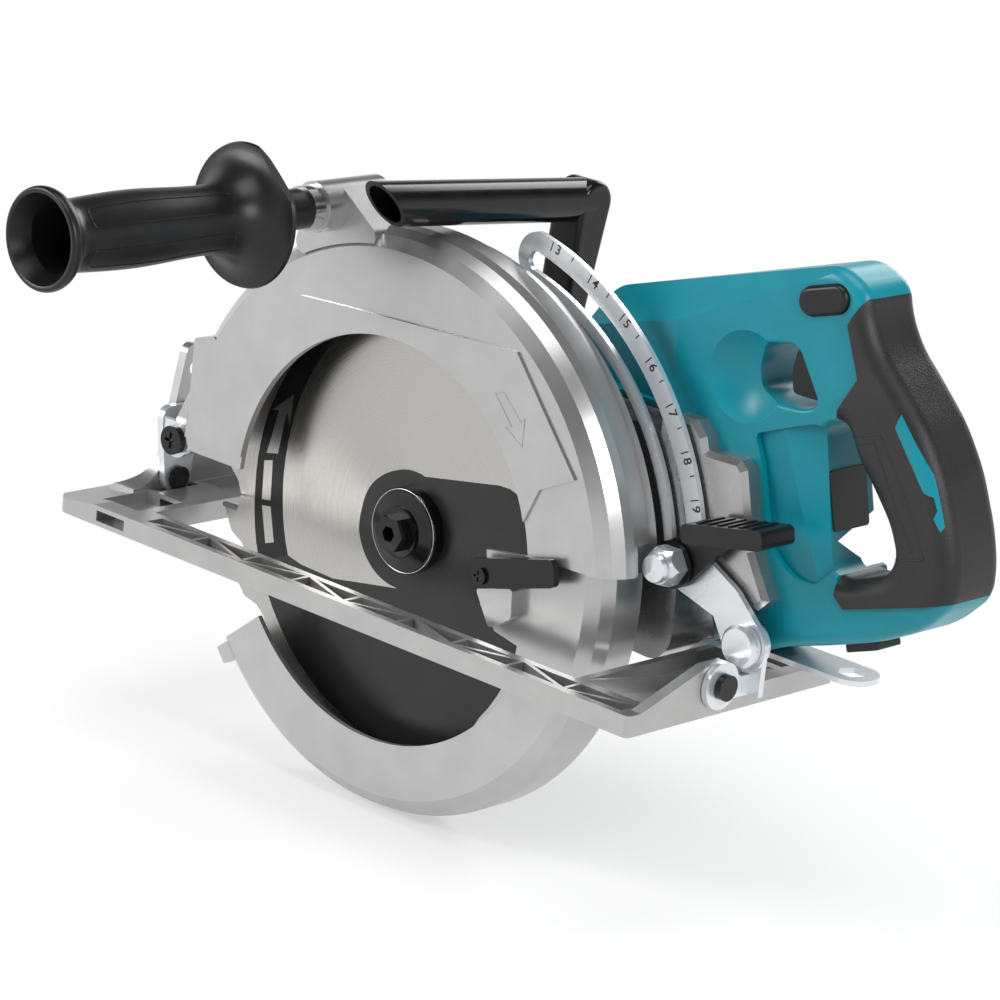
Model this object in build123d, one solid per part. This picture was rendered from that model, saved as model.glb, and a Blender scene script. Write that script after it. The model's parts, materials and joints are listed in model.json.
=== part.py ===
from build123d import *
import os
from math import acos, atan2, cos, degrees, hypot, pi, radians, sin, sqrt, tan

# Rear handle circular saw: x runs back from the arbor, minus y is the blade side, z = 0 is the sole

# Blade, and the height of its arbor above the sole at full depth
blade_radius = 130.0
blade_body = 1.6
blade_kerf = 2.15
bore_radius = 15.0
tooth_count = 24
gullet_depth = 13.0
tip_height = 9.0
slot_count = 4
slot_length = 21.0
slot_width = 0.8
slot_hole = 2.2
blade_turn = -4.4
arbor_z = 33.0

# Clearances
running_gap = 0.3
shaft_gap = 0.05
seat_gap = 0.02
tip_gap = 2.6
guard_gap = 1.7

# Guards
guard_wall = 2.6
lower_front_y = -20.0
lower_back_y = 8.4
lower_front_angle = -141.0
lower_rear_angle = 16.0
lower_reveal = 30.0
upper_front_y = -24.0
upper_back_y = 12.0
upper_rim = 8.1
upper_reveal = 35.0
crease_width = 9.5
panel_height = 1.2
guard_front_rise = 7.0
guard_rear_rise = 18.0
hub_radius = 27.0
hub_wall = 7.0
lower_outer = blade_radius + tip_gap + guard_wall
lower_window = blade_radius - lower_reveal
upper_inner = lower_outer + guard_gap
upper_outer = upper_inner + upper_rim
upper_window = blade_radius - upper_reveal
upper_crease = upper_outer - crease_width

# Bevel pivot, an axis along x
bevel_y = 0.0
bevel_z = 14.5
pivot_radius = 4.0
quadrant_thick = 5.0
quadrant_radius = 67.0
quadrant_left = -6.0
quadrant_lean = 10.5
quadrant_right = 62.0
quadrant_round = 5.0
bevel_slot_radius = 55.0
bevel_slot_width = 7.8
bevel_bolt_radius = 3.6
bevel_bolt_angle = 32.0
bevel_travel = 45.0
plate_thick = 4.0

# Depth linkage, axes along y
front_reach = 8.5
front_rise = 5.0
clamp_reach = 5.0
clamp_rise = 24.0
guide_arm = 41.0
guide_pivot_rise = 15.5
depth_travel = 26.0
guide_ratio = 0.58
guide_overrun = 12.0
guide_y = 15.0
guide_thick = 3.0
clamp_radius = 4.0
guide_slot_gap = 0.5
guide_inner_leg = 5.0
guide_outer_leg = 9.0
front_pivot_x = -(upper_outer + front_reach)
front_pivot_z = arbor_z + front_rise
clamp_x = upper_outer + clamp_reach
clamp_z = arbor_z + clamp_rise
guide_pivot_x = clamp_x + guide_arm
guide_pivot_z = bevel_z + guide_pivot_rise
guide_back = guide_y + guide_thick
block_face = guide_back + running_gap

# Base casting
base_left = -58.4
base_right = 85.0
base_height = 10.0
base_floor = 3.0
base_rim = 3.0
rib_width = 2.0
nose_length = 36.5
nose_slope = 32.0
nose_height = 6.0
tail_length = 0.5
window_left = -40.0
window_right = 52.0
window_front_gap = 4.0
window_rear_gap = 7.8
rule_slot_width = 20.0
rule_slot_height = 5.3
rule_slot_floor = 2.4
rule_slot_wall = 2.0
recess_half = 13.0
bracket_reach = 13.2
base_front = front_pivot_x - nose_length
base_rear = guide_pivot_x - tail_length
nose_x = base_front + nose_slope
window_front = -(blade_radius + window_front_gap)
window_rear = lower_outer + window_rear_gap
rule_slot_x = window_front - rule_slot_wall - rule_slot_width
bracket_x = front_pivot_x - bracket_reach
quadrant_back = bracket_x - running_gap
quadrant_x = quadrant_back - quadrant_thick
bevel_bolt_y = bevel_y + bevel_slot_radius * cos(radians(bevel_bolt_angle))
bevel_bolt_z = bevel_z + bevel_slot_radius * sin(radians(bevel_bolt_angle))

# Drive
gear_module = 1.5
gear_teeth = 48
pinion_teeth = 12
gear_backlash = 0.3
motor_angle = 50.0
spindle_radius = 9.0
shaft_radius = 4.0
case_back = 58.0
case_wall = 4.0
gear_y = 26.0
gear_width = 12.0
centre_distance = gear_module * (gear_teeth + pinion_teeth) / 2
motor_x = centre_distance * cos(radians(motor_angle))
motor_z = arbor_z + centre_distance * sin(radians(motor_angle))

# Handle and motor housing
handle_near = 29.0
handle_mid = 46.0
handle_far = 65.0
handle_round = 6.0
opening_round = 2.0
grip_proud = 2.0
grip_round = 9.0
core_inset = 5.0
handle_setback = 90.0
tail_setback = 21.0
housing_end = 122.0
housing_reach = 52.0
stator_radius = 36.0
rotor_radius = 23.0
motor_wall = 10.0
handle_x = upper_outer - handle_setback
tail_x = upper_outer - tail_setback
housing_rear = tail_x + housing_reach
motor_wall_radius = stator_radius + motor_wall

# Side handle and hook
side_handle_angle = 108.8
side_handle_rise = 10.3
side_boss_front = -35.5
side_boss_radius = 12.0
side_stud_radius = 6.0
side_collar = 8.0
side_handle_tip = -200.0
side_flange_y = -79.0
side_flange_radius = 33.5
hook_x = 2.0
hook_pivot_y = 84.0
hook_pivot_rise = 8.5
hook_corner_y = 93.0
hook_corner_rise = 6.0
hook_tip_y = -42.0
hook_slope = 0.07
hook_radius = 10.6
hook_wall = 2.2
side_handle_x = (upper_outer + side_handle_rise) * cos(radians(side_handle_angle))
side_handle_z = arbor_z + (upper_outer + side_handle_rise) * sin(radians(side_handle_angle))
hook_pivot_z = motor_z + motor_wall_radius + hook_pivot_rise
hook_corner_z = arbor_z + upper_outer + hook_corner_rise
half_body = blade_body / 2


def slab(face, y_low, y_high):
    """Extrude a face drawn in x and z between two y stations."""
    return extrude(Plane.XZ.offset(-y_high) * face, y_high - y_low)


def sheet_x(face, x_low, x_high):
    """Extrude a face drawn in y and z between two x stations."""
    return extrude(Plane.YZ.offset(x_low) * face, x_high - x_low)


def rod_y(x, z, y_low, y_high, radius):
    return slab(Pos(x, z) * Circle(radius), y_low, y_high)


def rod_x(y, z, x_low, x_high, radius):
    return sheet_x(Pos(y, z) * Circle(radius), x_low, x_high)


def tube_y(x, z, y_low, y_high, outer, inner):
    return slab(Pos(x, z) * (Circle(outer) - Circle(inner)), y_low, y_high)


def block(x_low, x_high, y_low, y_high, z_low, z_high):
    centre = Pos((x_low + x_high) / 2, (y_low + y_high) / 2, (z_low + z_high) / 2)
    return centre * Box(x_high - x_low, y_high - y_low, z_high - z_low)


def polygon(points):
    return make_face(Polyline(*points, close=True))


def moved(points, x, z):
    """Outline points carried to their place."""
    return [(x + u, z + v) for u, v in points]


def soft(points, setback):
    """Outline with each corner eased by an arc that starts a set distance from the corner."""
    count = len(points)
    edges = []
    ends = []
    for i in range(count):
        corner = Vector(*points[i])
        back = Vector(*points[i - 1]) - corner
        ahead = Vector(*points[(i + 1) % count]) - corner
        reach = min(setback, 0.45 * back.length, 0.45 * ahead.length)
        first = corner + back.normalized() * reach
        last = corner + ahead.normalized() * reach
        half = (pi - radians(back.get_angle(ahead))) / 2
        bulge = reach * (1 - cos(half)) / sin(half)
        middle = corner + (back.normalized() + ahead.normalized()).normalized() * bulge
        edges.append(ThreePointArc(first, middle, last))
        ends.append((first, last))
    for i in range(count):
        edges.append(Line(ends[i][1], ends[(i + 1) % count][0]))
    return make_face(edges)


def hull_of(*discs):
    """Hull of discs given as two coordinates and a radius."""
    edges = []
    for u, v, radius in discs:
        edges += (Pos(u, v) * Circle(radius)).edges()
    return make_hull(edges)


def turned(points, x, z):
    """Turn a closed outline of radius and y about a line along y."""
    return Pos(x, 0, z) * revolve(polygon(points), Axis.Y)


def polar(radius, angle):
    """Point about the arbor, as x and z."""
    return (radius * cos(radians(angle)), arbor_z + radius * sin(radians(angle)))


def sector(start, end, reach):
    """Wedge about the arbor from one angle to another."""
    steps = 6
    turn = (end - start) / steps
    return polygon([(0, arbor_z)] + [polar(reach, start + turn * i) for i in range(steps + 1)])


def rotate_point(point, centre, angle):
    """Turn an x and z point about a centre, counter-clockwise seen from the blade side."""
    dx = point[0] - centre[0]
    dz = point[1] - centre[1]
    c = cos(radians(angle))
    s = sin(radians(angle))
    return (centre[0] + c * dx - s * dz, centre[1] + s * dx + c * dz)


def cross_recess(x, z, y_low, y_high, reach, width):
    """Cross shaped driver recess in a screw head."""
    bar = block(x - reach, x + reach, y_low, y_high, z - width / 2, z + width / 2)
    return bar + block(x - width / 2, x + width / 2, y_low, y_high, z - reach, z + reach)


# Blade

tooth_land = 1.4
gullet_lift = 2.0


def saw_blade():
    pitch = 360 / tooth_count
    root = blade_radius - gullet_depth
    points = []
    for i in range(tooth_count):
        lead = i * pitch + blade_turn
        points.append(polar(blade_radius - tip_height, lead + 0.04 * pitch))
        points.append(polar(blade_radius - tooth_land, lead))
        points.append(polar(blade_radius - 0.35 * gullet_depth, lead + 0.35 * pitch))
        points.append(polar(root + gullet_lift, lead + 0.55 * pitch))
        points.append(polar(root, lead + 0.77 * pitch))
        points.append(polar(root + gullet_lift, lead + 0.97 * pitch))
    face = polygon(points) - Pos(0, arbor_z) * Circle(bore_radius)
    inner = root - slot_length
    slot = Pos(inner + slot_length / 2 + 1, 0) * Rectangle(slot_length + 2, slot_width)
    slot += Pos(inner, 0) * Circle(slot_hole)
    for i in range(slot_count):
        angle = 360 / slot_count * i + 0.77 * pitch + blade_turn
        face -= Pos(0, arbor_z) * Rot(0, 0, angle) * slot
    return slab(face, -half_body, half_body)


def carbide_tips():
    pitch = 360 / tooth_count
    seat = blade_radius - tip_height
    tips = []
    for i in range(tooth_count):
        lead = i * pitch + blade_turn
        points = [
            polar(seat, lead + 0.04 * pitch),
            polar(blade_radius - tooth_land, lead),
            polar(blade_radius, lead - 0.01 * pitch),
            polar(blade_radius - 0.1, lead - 0.066 * pitch),
            polar(seat, lead - 0.03 * pitch),
        ]
        tips.append(slab(polygon(points), -blade_kerf / 2, blade_kerf / 2))
    return Compound(children=tips)


# Blade clamp and spindle

inner_flange_y = 6.5
outer_flange_y = -9.5
flange_radius = 20.6
arbor_head_y = -17.0
arbor_bolt_radius = 5.0
arbor_bolt_end = 10.0
arbor_collar = 1.8
spindle_front = -6.0


def inner_flange():
    flange = tube_y(0, arbor_z, half_body, inner_flange_y, flange_radius, spindle_radius + seat_gap)
    pilot = tube_y(0, arbor_z, -half_body, half_body, bore_radius - shaft_gap, spindle_radius + seat_gap)
    return flange + pilot


def outer_flange():
    bore = spindle_radius + seat_gap
    hole = arbor_bolt_radius + running_gap
    points = [
        (bore, -half_body), (flange_radius, -half_body), (flange_radius, outer_flange_y + 3),
        (flange_radius - 1.2, outer_flange_y + 1.6), (flange_radius - 8, outer_flange_y),
        (hole, outer_flange_y), (hole, spindle_front), (bore, spindle_front),
    ]
    return turned(points, 0, arbor_z)


def arbor_bolt():
    seat = outer_flange_y - arbor_collar
    shank = rod_y(0, arbor_z, outer_flange_y, arbor_bolt_end, arbor_bolt_radius - seat_gap)
    collar = rod_y(0, arbor_z, seat, outer_flange_y, 12)
    head = slab(Pos(0, arbor_z) * RegularPolygon(9, 6), arbor_head_y, seat)
    socket = slab(Pos(0, arbor_z) * RegularPolygon(4, 6), arbor_head_y - 1, arbor_head_y + 5)
    return shank + collar + head - socket


# Bearings and gears

front_bearing_y = 13.0
front_bearing_width = 10.0
front_bearing_radius = 21.0
rear_bearing_y = 44.0
rear_bearing_width = 9.0
rear_bearing_radius = 17.0
motor_bearing_radius = 11.0
motor_bearing_width = 7.0
motor_rear_bearing_y = 111.0
shaft_end = 119.0
pressure_angle = 20.0


def spindle():
    back = rear_bearing_y + rear_bearing_width
    shaft = rod_y(0, arbor_z, spindle_front, back, spindle_radius)
    return shaft - rod_y(0, arbor_z, spindle_front - 1, arbor_bolt_end + 2, arbor_bolt_radius)


def spindle_front_bearing():
    return tube_y(0, arbor_z, front_bearing_y, front_bearing_y + front_bearing_width, front_bearing_radius,
                  spindle_radius + shaft_gap)


def spindle_rear_bearing():
    return tube_y(0, arbor_z, rear_bearing_y, rear_bearing_y + rear_bearing_width, rear_bearing_radius,
                  spindle_radius + shaft_gap)


def motor_bearings():
    rings = []
    for y in (rear_bearing_y, motor_rear_bearing_y):
        rings.append(tube_y(motor_x, motor_z, y, y + motor_bearing_width, motor_bearing_radius,
                            shaft_radius + shaft_gap))
    return Compound(children=rings)


def gear_outline(teeth, centre_angle):
    """Flat involute gear about the origin with a tooth on the given angle."""
    pitch_radius = gear_module * teeth / 2
    pressure = radians(pressure_angle)
    base_radius = pitch_radius * cos(pressure)
    tip = pitch_radius + 0.9 * gear_module
    root = pitch_radius - 1.2 * gear_module
    half = pi / (2 * teeth) - gear_backlash / (2 * pitch_radius) + tan(pressure) - pressure
    flank = [(root, half)] if root < base_radius else []
    for radius in (max(base_radius, root), pitch_radius, tip):
        roll = acos(min(1.0, base_radius / radius))
        flank.append((radius, half - tan(roll) + roll))
    points = []
    for i in range(teeth):
        middle = radians(centre_angle) + 2 * pi * i / teeth
        for radius, angle in flank:
            points.append((radius * cos(middle - angle), radius * sin(middle - angle)))
        for radius, angle in reversed(flank):
            points.append((radius * cos(middle + angle), radius * sin(middle + angle)))
    return polygon(points)


def spindle_gear():
    face = gear_outline(gear_teeth, motor_angle) - Circle(spindle_radius + seat_gap)
    return slab(Pos(0, arbor_z) * face, gear_y, gear_y + gear_width)


# Motor

stator_y = 64.0
stator_length = 32.0
stator_wall = 5.0
pole_count = 6
fan_y = 99.0
fan_width = 8.0
vane_count = 9
air_gap = 1.0


def motor_shaft():
    shaft = rod_y(motor_x, motor_z, gear_y - 1.5, shaft_end, shaft_radius)
    tooth_angle = motor_angle + 180 + 180 / pinion_teeth
    pinion = Pos(motor_x, motor_z) * gear_outline(pinion_teeth, tooth_angle)
    return shaft + slab(pinion, gear_y - 1, gear_y + gear_width + 1)


def rotor_core():
    return tube_y(motor_x, motor_z, stator_y, stator_y + stator_length, rotor_radius - air_gap,
                  shaft_radius + seat_gap)


def stator():
    face = Circle(stator_radius - seat_gap) - Circle(stator_radius - stator_wall)
    pole_length = stator_radius - stator_wall + 1 - rotor_radius + air_gap
    for i in range(pole_count):
        pole = Pos(rotor_radius - air_gap + pole_length / 2, 0) * Rectangle(pole_length, 9)
        face += Rot(0, 0, 360 / pole_count * i) * pole
    face -= Circle(rotor_radius)
    return slab(Pos(motor_x, motor_z) * face, stator_y, stator_y + stator_length)


def cooling_fan():
    reach = stator_radius - 2
    face = Circle(12) - Circle(shaft_radius + seat_gap)
    fan = tube_y(motor_x, motor_z, fan_y, fan_y + 1.6, reach, shaft_radius + seat_gap)
    for i in range(vane_count):
        vane = Pos((reach + 11) / 2, 0) * Rot(0, 0, 25) * Rectangle(reach - 14, 1.6)
        face += Rot(0, 0, 360 / vane_count * i) * vane
    return fan + slab(Pos(motor_x, motor_z) * face, fan_y + 1, fan_y + fan_width)


# Lower guard and its lever

retainer_width = 0.9
retainer_y = lower_back_y - guard_wall - running_gap - retainer_width - 0.3
lever_face = -26.0
lever_cover_face = -29.4
lever_x = lower_window - 30.0
screw_x = lever_x + 1
screw_z = arbor_z + 2
screw_radius = 2.1
lever_cover = [(-8, 8), (43, 21.5), (46, 9), (-2, -5)]
lever_foot = [(-4, -6), (18, 0), (19, -14), (6, -22)]
guard_lug = [(-8, 11), (34, 17), (36, -31), (5, -25), (-8, -13)]
lug_clear = 34.0
lip_height = 8.0
lip_turn = 3.5


def lower_guard():
    back = lower_back_y - guard_wall
    inner = lower_outer - guard_wall
    front_in = lower_front_y + guard_wall
    bore = hub_radius + running_gap
    section = [
        (bore, lower_back_y), (lower_outer, lower_back_y), (lower_outer, -9), (lower_outer - 3, -15.5),
        (lower_outer - 9, lower_front_y), (lower_window, lower_front_y), (lower_window, front_in),
        (inner - 7, front_in), (inner, -8), (inner, back), (bore, back),
    ]
    shell = turned(section, 0, arbor_z)
    wedge = sector(lower_front_angle, lower_rear_angle, 2 * lower_outer)
    guard = shell & slab(wedge, lower_front_y - 1, lower_back_y + 1)
    guard += tube_y(0, arbor_z, back, lower_back_y, hub_radius + hub_wall, bore)
    lug = slab(polygon(moved(guard_lug, lever_x, arbor_z)), lower_front_y, front_in)
    lug -= rod_y(0, arbor_z, lower_front_y - 1, front_in + 1, lower_window - lug_clear)
    guard += lug
    guard -= rod_y(screw_x, screw_z, lower_front_y - 1, front_in + 1, screw_radius + seat_gap)
    lip_wedge = sector(lower_front_angle, lower_front_angle + lip_turn, 2 * lower_outer)
    lip = tube_y(0, arbor_z, -13, lower_back_y - 2, lower_outer + lip_height, lower_outer - 2)
    return guard + (lip & slab(lip_wedge, -30, 30))


def guard_lever():
    return slab(soft(moved(lever_foot, lever_x, arbor_z), 2), lever_face, lower_front_y)


def guard_lever_cover():
    plate = slab(soft(moved(lever_cover, lever_x, arbor_z), 3), lever_cover_face, lever_face)
    return plate - rod_y(screw_x, screw_z, lever_cover_face - 1, lever_face + 1, screw_radius + seat_gap)


def guard_lever_screw():
    top = lever_cover_face - 1.6
    head = rod_y(screw_x, screw_z, top, lever_cover_face, 2 * screw_radius)
    shank = rod_y(screw_x, screw_z, lever_cover_face, lower_front_y + 2, screw_radius)
    return head + shank - cross_recess(screw_x, screw_z, top - 1, top + 0.9, 2.6, 1)


def guard_retaining_ring():
    ring = Circle(hub_radius + 4) - Circle(hub_radius)
    gap = Pos(hub_radius + 2, 0) * Rectangle(8, 5)
    return slab(Pos(0, arbor_z) * (ring - gap), retainer_y, retainer_y + retainer_width)


spring_wire = 1.2


def guard_return_spring():
    """Flat open coil round the hub boss, behind the lower guard."""
    coil = Circle(hub_radius + 2 + spring_wire) - Circle(hub_radius + 2)
    gap = Pos(0, hub_radius + 2) * Rectangle(3, 8)
    low = lower_back_y + running_gap
    return slab(Pos(0, arbor_z) * (coil - gap), low, upper_back_y)


stop_radius = 45.0
stop_size = 4.0


def guard_stop():
    spread = degrees((stop_size + running_gap + 0.2) / stop_radius)
    x, z = polar(stop_radius, lower_front_angle - spread)
    return rod_y(x, z, lower_back_y - guard_wall, upper_back_y, stop_size)


# Upper guard

back_wall_radius = 40.0
lug_half = 8.7
lug_radius = 8.0
cheek_back = -12.0
cheek_round = 6.0
face_panel = [
    (-0.95, 0.46), (-0.47, 0.745), (-0.2, 0.76), (0.555, 0.793), (0.863, 0.435), (0.716, 0.362), (0.6, 0.1),
    (-0.95, 0.1),
]


def upper_guard():
    back_in = upper_back_y - guard_wall
    front_in = upper_front_y + guard_wall
    step = upper_inner + 4
    section = [
        (back_wall_radius, upper_back_y), (step, upper_back_y), (step, 4.5), (upper_outer, 2.5),
        (upper_outer, -8), (upper_outer - 1, -13), (upper_outer - 4, -19), (upper_crease, upper_front_y),
        (upper_window, upper_front_y), (upper_window, front_in), (upper_inner - 8.5, front_in),
        (upper_inner, -9.6), (upper_inner, back_in), (back_wall_radius, back_in),
    ]
    shell = turned(section, 0, arbor_z)
    reach = upper_outer + 20
    low_front = arbor_z + guard_front_rise
    low_middle = arbor_z + guard_front_rise + 8
    low_rear = arbor_z + guard_rear_rise
    keep = polygon([
        (-reach, low_front), (-upper_window + 5, low_front), (-60, low_middle), (60, low_middle),
        (upper_window - 5, low_rear - 1), (reach, low_rear + 1), (reach, 2 * reach), (-reach, 2 * reach),
    ])
    guard = shell & slab(keep, upper_front_y - 1, upper_back_y + 1)
    outline = [(u * upper_crease, arbor_z + v * upper_crease) for u, v in face_panel]
    panel = polygon(outline) & (Pos(0, arbor_z) * (Circle(upper_crease - 2) - Circle(upper_window)))
    guard += slab(panel & keep, upper_front_y - panel_height, upper_front_y)
    left = 2 - upper_crease
    cheek = [
        (left, low_front), (left, arbor_z + 63), (left + 14, arbor_z + 66.8), (left + 21, arbor_z + 57),
        (left + 21, low_front),
    ]
    inside = rod_y(0, arbor_z, front_in, upper_back_y, upper_inner)
    guard += slab(soft(cheek, 2), upper_front_y, cheek_back) - inside
    corner = Pos(left - 7, low_front) * Rectangle(2 * cheek_round + 14, 2 * cheek_round)
    corner -= Pos(left + cheek_round, low_front + cheek_round) * Circle(cheek_round)
    guard -= slab(corner, upper_front_y - 2, cheek_back)
    rim_front = polar(upper_outer - 3, 117)
    rim_rear = polar(upper_outer - 5, 100)
    saddle = hull_of((side_handle_x, side_handle_z, side_boss_radius), (*rim_front, 6), (*rim_rear, 5))
    hollow = rod_y(0, arbor_z, -30, upper_back_y, upper_inner)
    guard += slab(saddle, upper_front_y, 6) - hollow
    guard += rod_y(side_handle_x, side_handle_z, side_boss_front, 6, side_boss_radius)
    guard -= rod_y(side_handle_x, side_handle_z, side_boss_front - 1, -8, side_stud_radius)
    for y_low, y_high in ((upper_front_y - 2, -lug_half), (lug_half, upper_back_y + 2)):
        guard -= rod_y(front_pivot_x, front_pivot_z, y_low, y_high, ear_radius + 1.4)
    lug_top = polar(upper_outer + 4, 169)
    lug_low = polar(upper_outer - 3, 175)
    lug = hull_of((front_pivot_x, front_pivot_z, lug_radius), (*lug_top, 4), (*lug_low, 3))
    guard += slab(lug, -lug_half, lug_half) - hollow
    nut_end = clamp_nut_face - nut_length
    guard -= rod_y(clamp_x, clamp_z, nut_end - 1, upper_back_y + 1, washer_radius + 1)
    return guard - rod_y(front_pivot_x, front_pivot_z, -20, 20, pivot_radius + shaft_gap)


# Base casting and bevel pieces


def nose_top(x):
    """Height of the base top, which falls away towards the nose."""
    fall = (base_height - nose_height) / nose_slope
    return base_height - fall * max(0.0, nose_x - x)


def rib_pockets(x_low, x_high, y_low, y_high, cells):
    """Triangular pockets either side of zigzag ribs."""
    step = (x_high - x_low) / cells
    pockets = []
    for i in range(cells):
        a = x_low + step * i
        b = a + step
        corners = [(a, y_low), (b, y_low), (b, y_high), (a, y_high)]
        if i % 2:
            corners = [corners[1], corners[2], corners[3], corners[0]]
        pockets.append(polygon([corners[0], corners[1], corners[2]]))
        pockets.append(polygon([corners[0], corners[2], corners[3]]))
    return [offset(pocket, -rib_width / 2, kind=Kind.INTERSECTION) for pocket in pockets]


def base_plate():
    edge = [
        (base_front, base_left + 8), (base_front + 9, base_left), (base_rear, base_left),
        (base_rear, base_right), (base_front + 9, base_right), (base_front, base_right - 8),
    ]
    plate = extrude(soft(edge, 3), base_height)
    plate -= block(window_front, window_rear, window_left, window_right, -1, base_height + 1)
    slope = [
        (nose_x, base_height), (base_front - 1, nose_top(base_front - 1)), (base_front - 1, base_height + 1),
        (nose_x, base_height + 1),
    ]
    chin = [(base_front - 1, -1), (base_front + 8, -1), (base_front + 8, 0), (base_front - 1, 3.6)]
    for wedge in (slope, chin):
        plate -= slab(polygon(wedge), base_left - 1, base_right + 1)
    front_x = window_front + 8
    rear_x = base_rear - 7
    left = rib_pockets(front_x, rear_x, base_left + base_rim, window_left - base_rim, 9)
    right = rib_pockets(front_x, rear_x, window_right + base_rim, base_right - base_rim, 7)
    rear = rib_pockets(window_rear + base_rim, rear_x, window_left, window_right, 1)
    for pocket in left + right + rear:
        plate -= extrude(Pos(0, 0, base_floor) * pocket, base_height)
    slot_top = rule_slot_floor + rule_slot_height
    slot_rear = rule_slot_x + rule_slot_width
    plate -= block(rule_slot_x, slot_rear, base_left - 1, base_right + 1, rule_slot_floor, slot_top)
    crest = bevel_z + 9.5
    upstand = [
        (-50, base_floor), (-50, base_height), (-8, crest), (6, crest), (13, base_height + 2),
        (26, base_height), (26, base_floor),
    ]
    plate += sheet_x(polygon(upstand), base_rear - 6, base_rear)
    plate -= rod_x(bevel_y, bevel_z, base_rear - 8, base_rear + 1, pivot_radius + seat_gap)
    recess_end = bracket_x + plate_thick + running_gap + pin_head_thick + 0.7
    plate -= block(quadrant_back + 0.01, recess_end, -recess_half, recess_half, 4, base_height + 1)
    for y_low, y_high in ((base_left + 12, -recess_half - 4), (recess_half + 4, base_right - 14)):
        plate -= block(recess_end - 6, slot_rear - 4, y_low, y_high, base_floor, base_height + 1)
    return plate


knee_rise = 11.0
foot_spread = 19.0
foot_rise = 20.0
toe_reach = 13.0


def bevel_quadrant():
    """Slotted plate with a leaning edge and a flared foot that stands on the nose of the base."""
    tall = bevel_z + quadrant_radius
    knee = bevel_z + knee_rise
    spread = quadrant_left - foot_spread
    flare = nose_top(quadrant_back) + 1.5
    outline = [
        Line((spread, 0), (quadrant_right, 0)),
        Line((quadrant_right, 0), (quadrant_right, tall)),
        Line((quadrant_right, tall), (quadrant_left + quadrant_lean, tall)),
        Line((quadrant_left + quadrant_lean, tall), (quadrant_left, knee)),
        ThreePointArc((quadrant_left, knee), (quadrant_left - 5, knee - 9.5), (spread, flare)),
        Line((spread, flare), (spread, 0)),
    ]
    edge = make_face(outline)
    arc = CenterArc((bevel_y, bevel_z), bevel_slot_radius, bevel_bolt_angle - 2, bevel_travel + 4)
    face = (Pos(bevel_y, bevel_z) * Circle(quadrant_radius)) & edge
    crown = face.vertices().filter_by(lambda corner: corner.Y > tall - 12).sort_by(Axis.X)[0]
    face = fillet(crown, quadrant_round)
    face += edge & (Pos(quadrant_right, 0) * Rectangle(4 * quadrant_right, 2 * bevel_z))
    plate = sheet_x(face - SlotArc(arc, bevel_slot_width), quadrant_x, quadrant_back)
    toe = quadrant_x - toe_reach
    toe_z = nose_top(toe) + 1.5
    top = bevel_z + foot_rise
    profile = [
        Line((toe, 0), (quadrant_back, 0)),
        Line((quadrant_back, 0), (quadrant_back, top)),
        Line((quadrant_back, top), (quadrant_x, top)),
        ThreePointArc((quadrant_x, top), (quadrant_x - 3, toe_z + 8), (toe, toe_z)),
        Line((toe, toe_z), (toe, 0)),
    ]
    foot = slab(make_face(profile), spread, quadrant_right) & sheet_x(edge, toe - 1, quadrant_back)
    under = polygon([
        (base_front - 5, -1), (nose_x, -1), (nose_x, base_height), (base_front - 5, nose_top(base_front - 5)),
    ])
    quadrant = plate + foot - slab(under, spread - 1, quadrant_right + 1)
    return quadrant - rod_x(bevel_y, bevel_z, quadrant_x, quadrant_back + 1, pivot_radius + seat_gap)


pin_head = 6.0
pin_head_thick = 2.0
ear_inner = 9.0
ear_thick = 3.0
ear_radius = 9.0
bolt_head = 7.2


def front_bevel_pin():
    seat = bracket_x + plate_thick + running_gap
    shank = rod_x(bevel_y, bevel_z, quadrant_x, seat, pivot_radius)
    return shank + rod_x(bevel_y, bevel_z, seat, seat + pin_head_thick, pin_head)


def front_pivot_bracket():
    back = bracket_x + plate_thick
    top = front_pivot_z + 8
    plate = sheet_x(hull_of((bevel_y, bevel_z, 8.5), (-7, top, 6), (7, top, 6)), bracket_x, back)
    arm = hull_of((bevel_y, front_pivot_z + 2, 8), (bevel_bolt_y, bevel_bolt_z, 10))
    bracket = plate + sheet_x(arm, bracket_x, back)
    ear = Pos(front_pivot_x, front_pivot_z) * Circle(ear_radius)
    web = Rectangle(bracket_reach - 2, 2 * ear_radius - 2)
    ear += Pos((front_pivot_x + bracket_x) / 2 + 1, front_pivot_z + 1) * web
    for y_low in (-ear_inner - ear_thick, ear_inner):
        bracket += slab(ear, y_low, y_low + ear_thick)
    bracket -= rod_x(bevel_y, bevel_z, bracket_x - 1, back + 1, pivot_radius + shaft_gap)
    bracket -= rod_x(bevel_bolt_y, bevel_bolt_z, bracket_x - 1, back + 1, bevel_bolt_radius + seat_gap)
    return bracket - rod_y(front_pivot_x, front_pivot_z, -20, 20, pivot_radius + seat_gap)


def depth_pivot_bolt():
    outer = ear_inner + ear_thick
    shank = rod_y(front_pivot_x, front_pivot_z, -outer, outer, pivot_radius)
    head = rod_y(front_pivot_x, front_pivot_z, -outer - 3.5, -outer, bolt_head)
    nut = slab(Pos(front_pivot_x, front_pivot_z) * RegularPolygon(bolt_head, 6), outer, outer + 4)
    return shank + head + nut - cross_recess(front_pivot_x, front_pivot_z, -outer - 5, -outer - 1.8, 4, 1.6)


def bevel_clamp_bolt():
    back = bracket_x + plate_thick
    shank = rod_x(bevel_bolt_y, bevel_bolt_z, quadrant_x - 10, back, bevel_bolt_radius)
    return shank + rod_x(bevel_bolt_y, bevel_bolt_z, back, back + 3, bolt_head)


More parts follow.
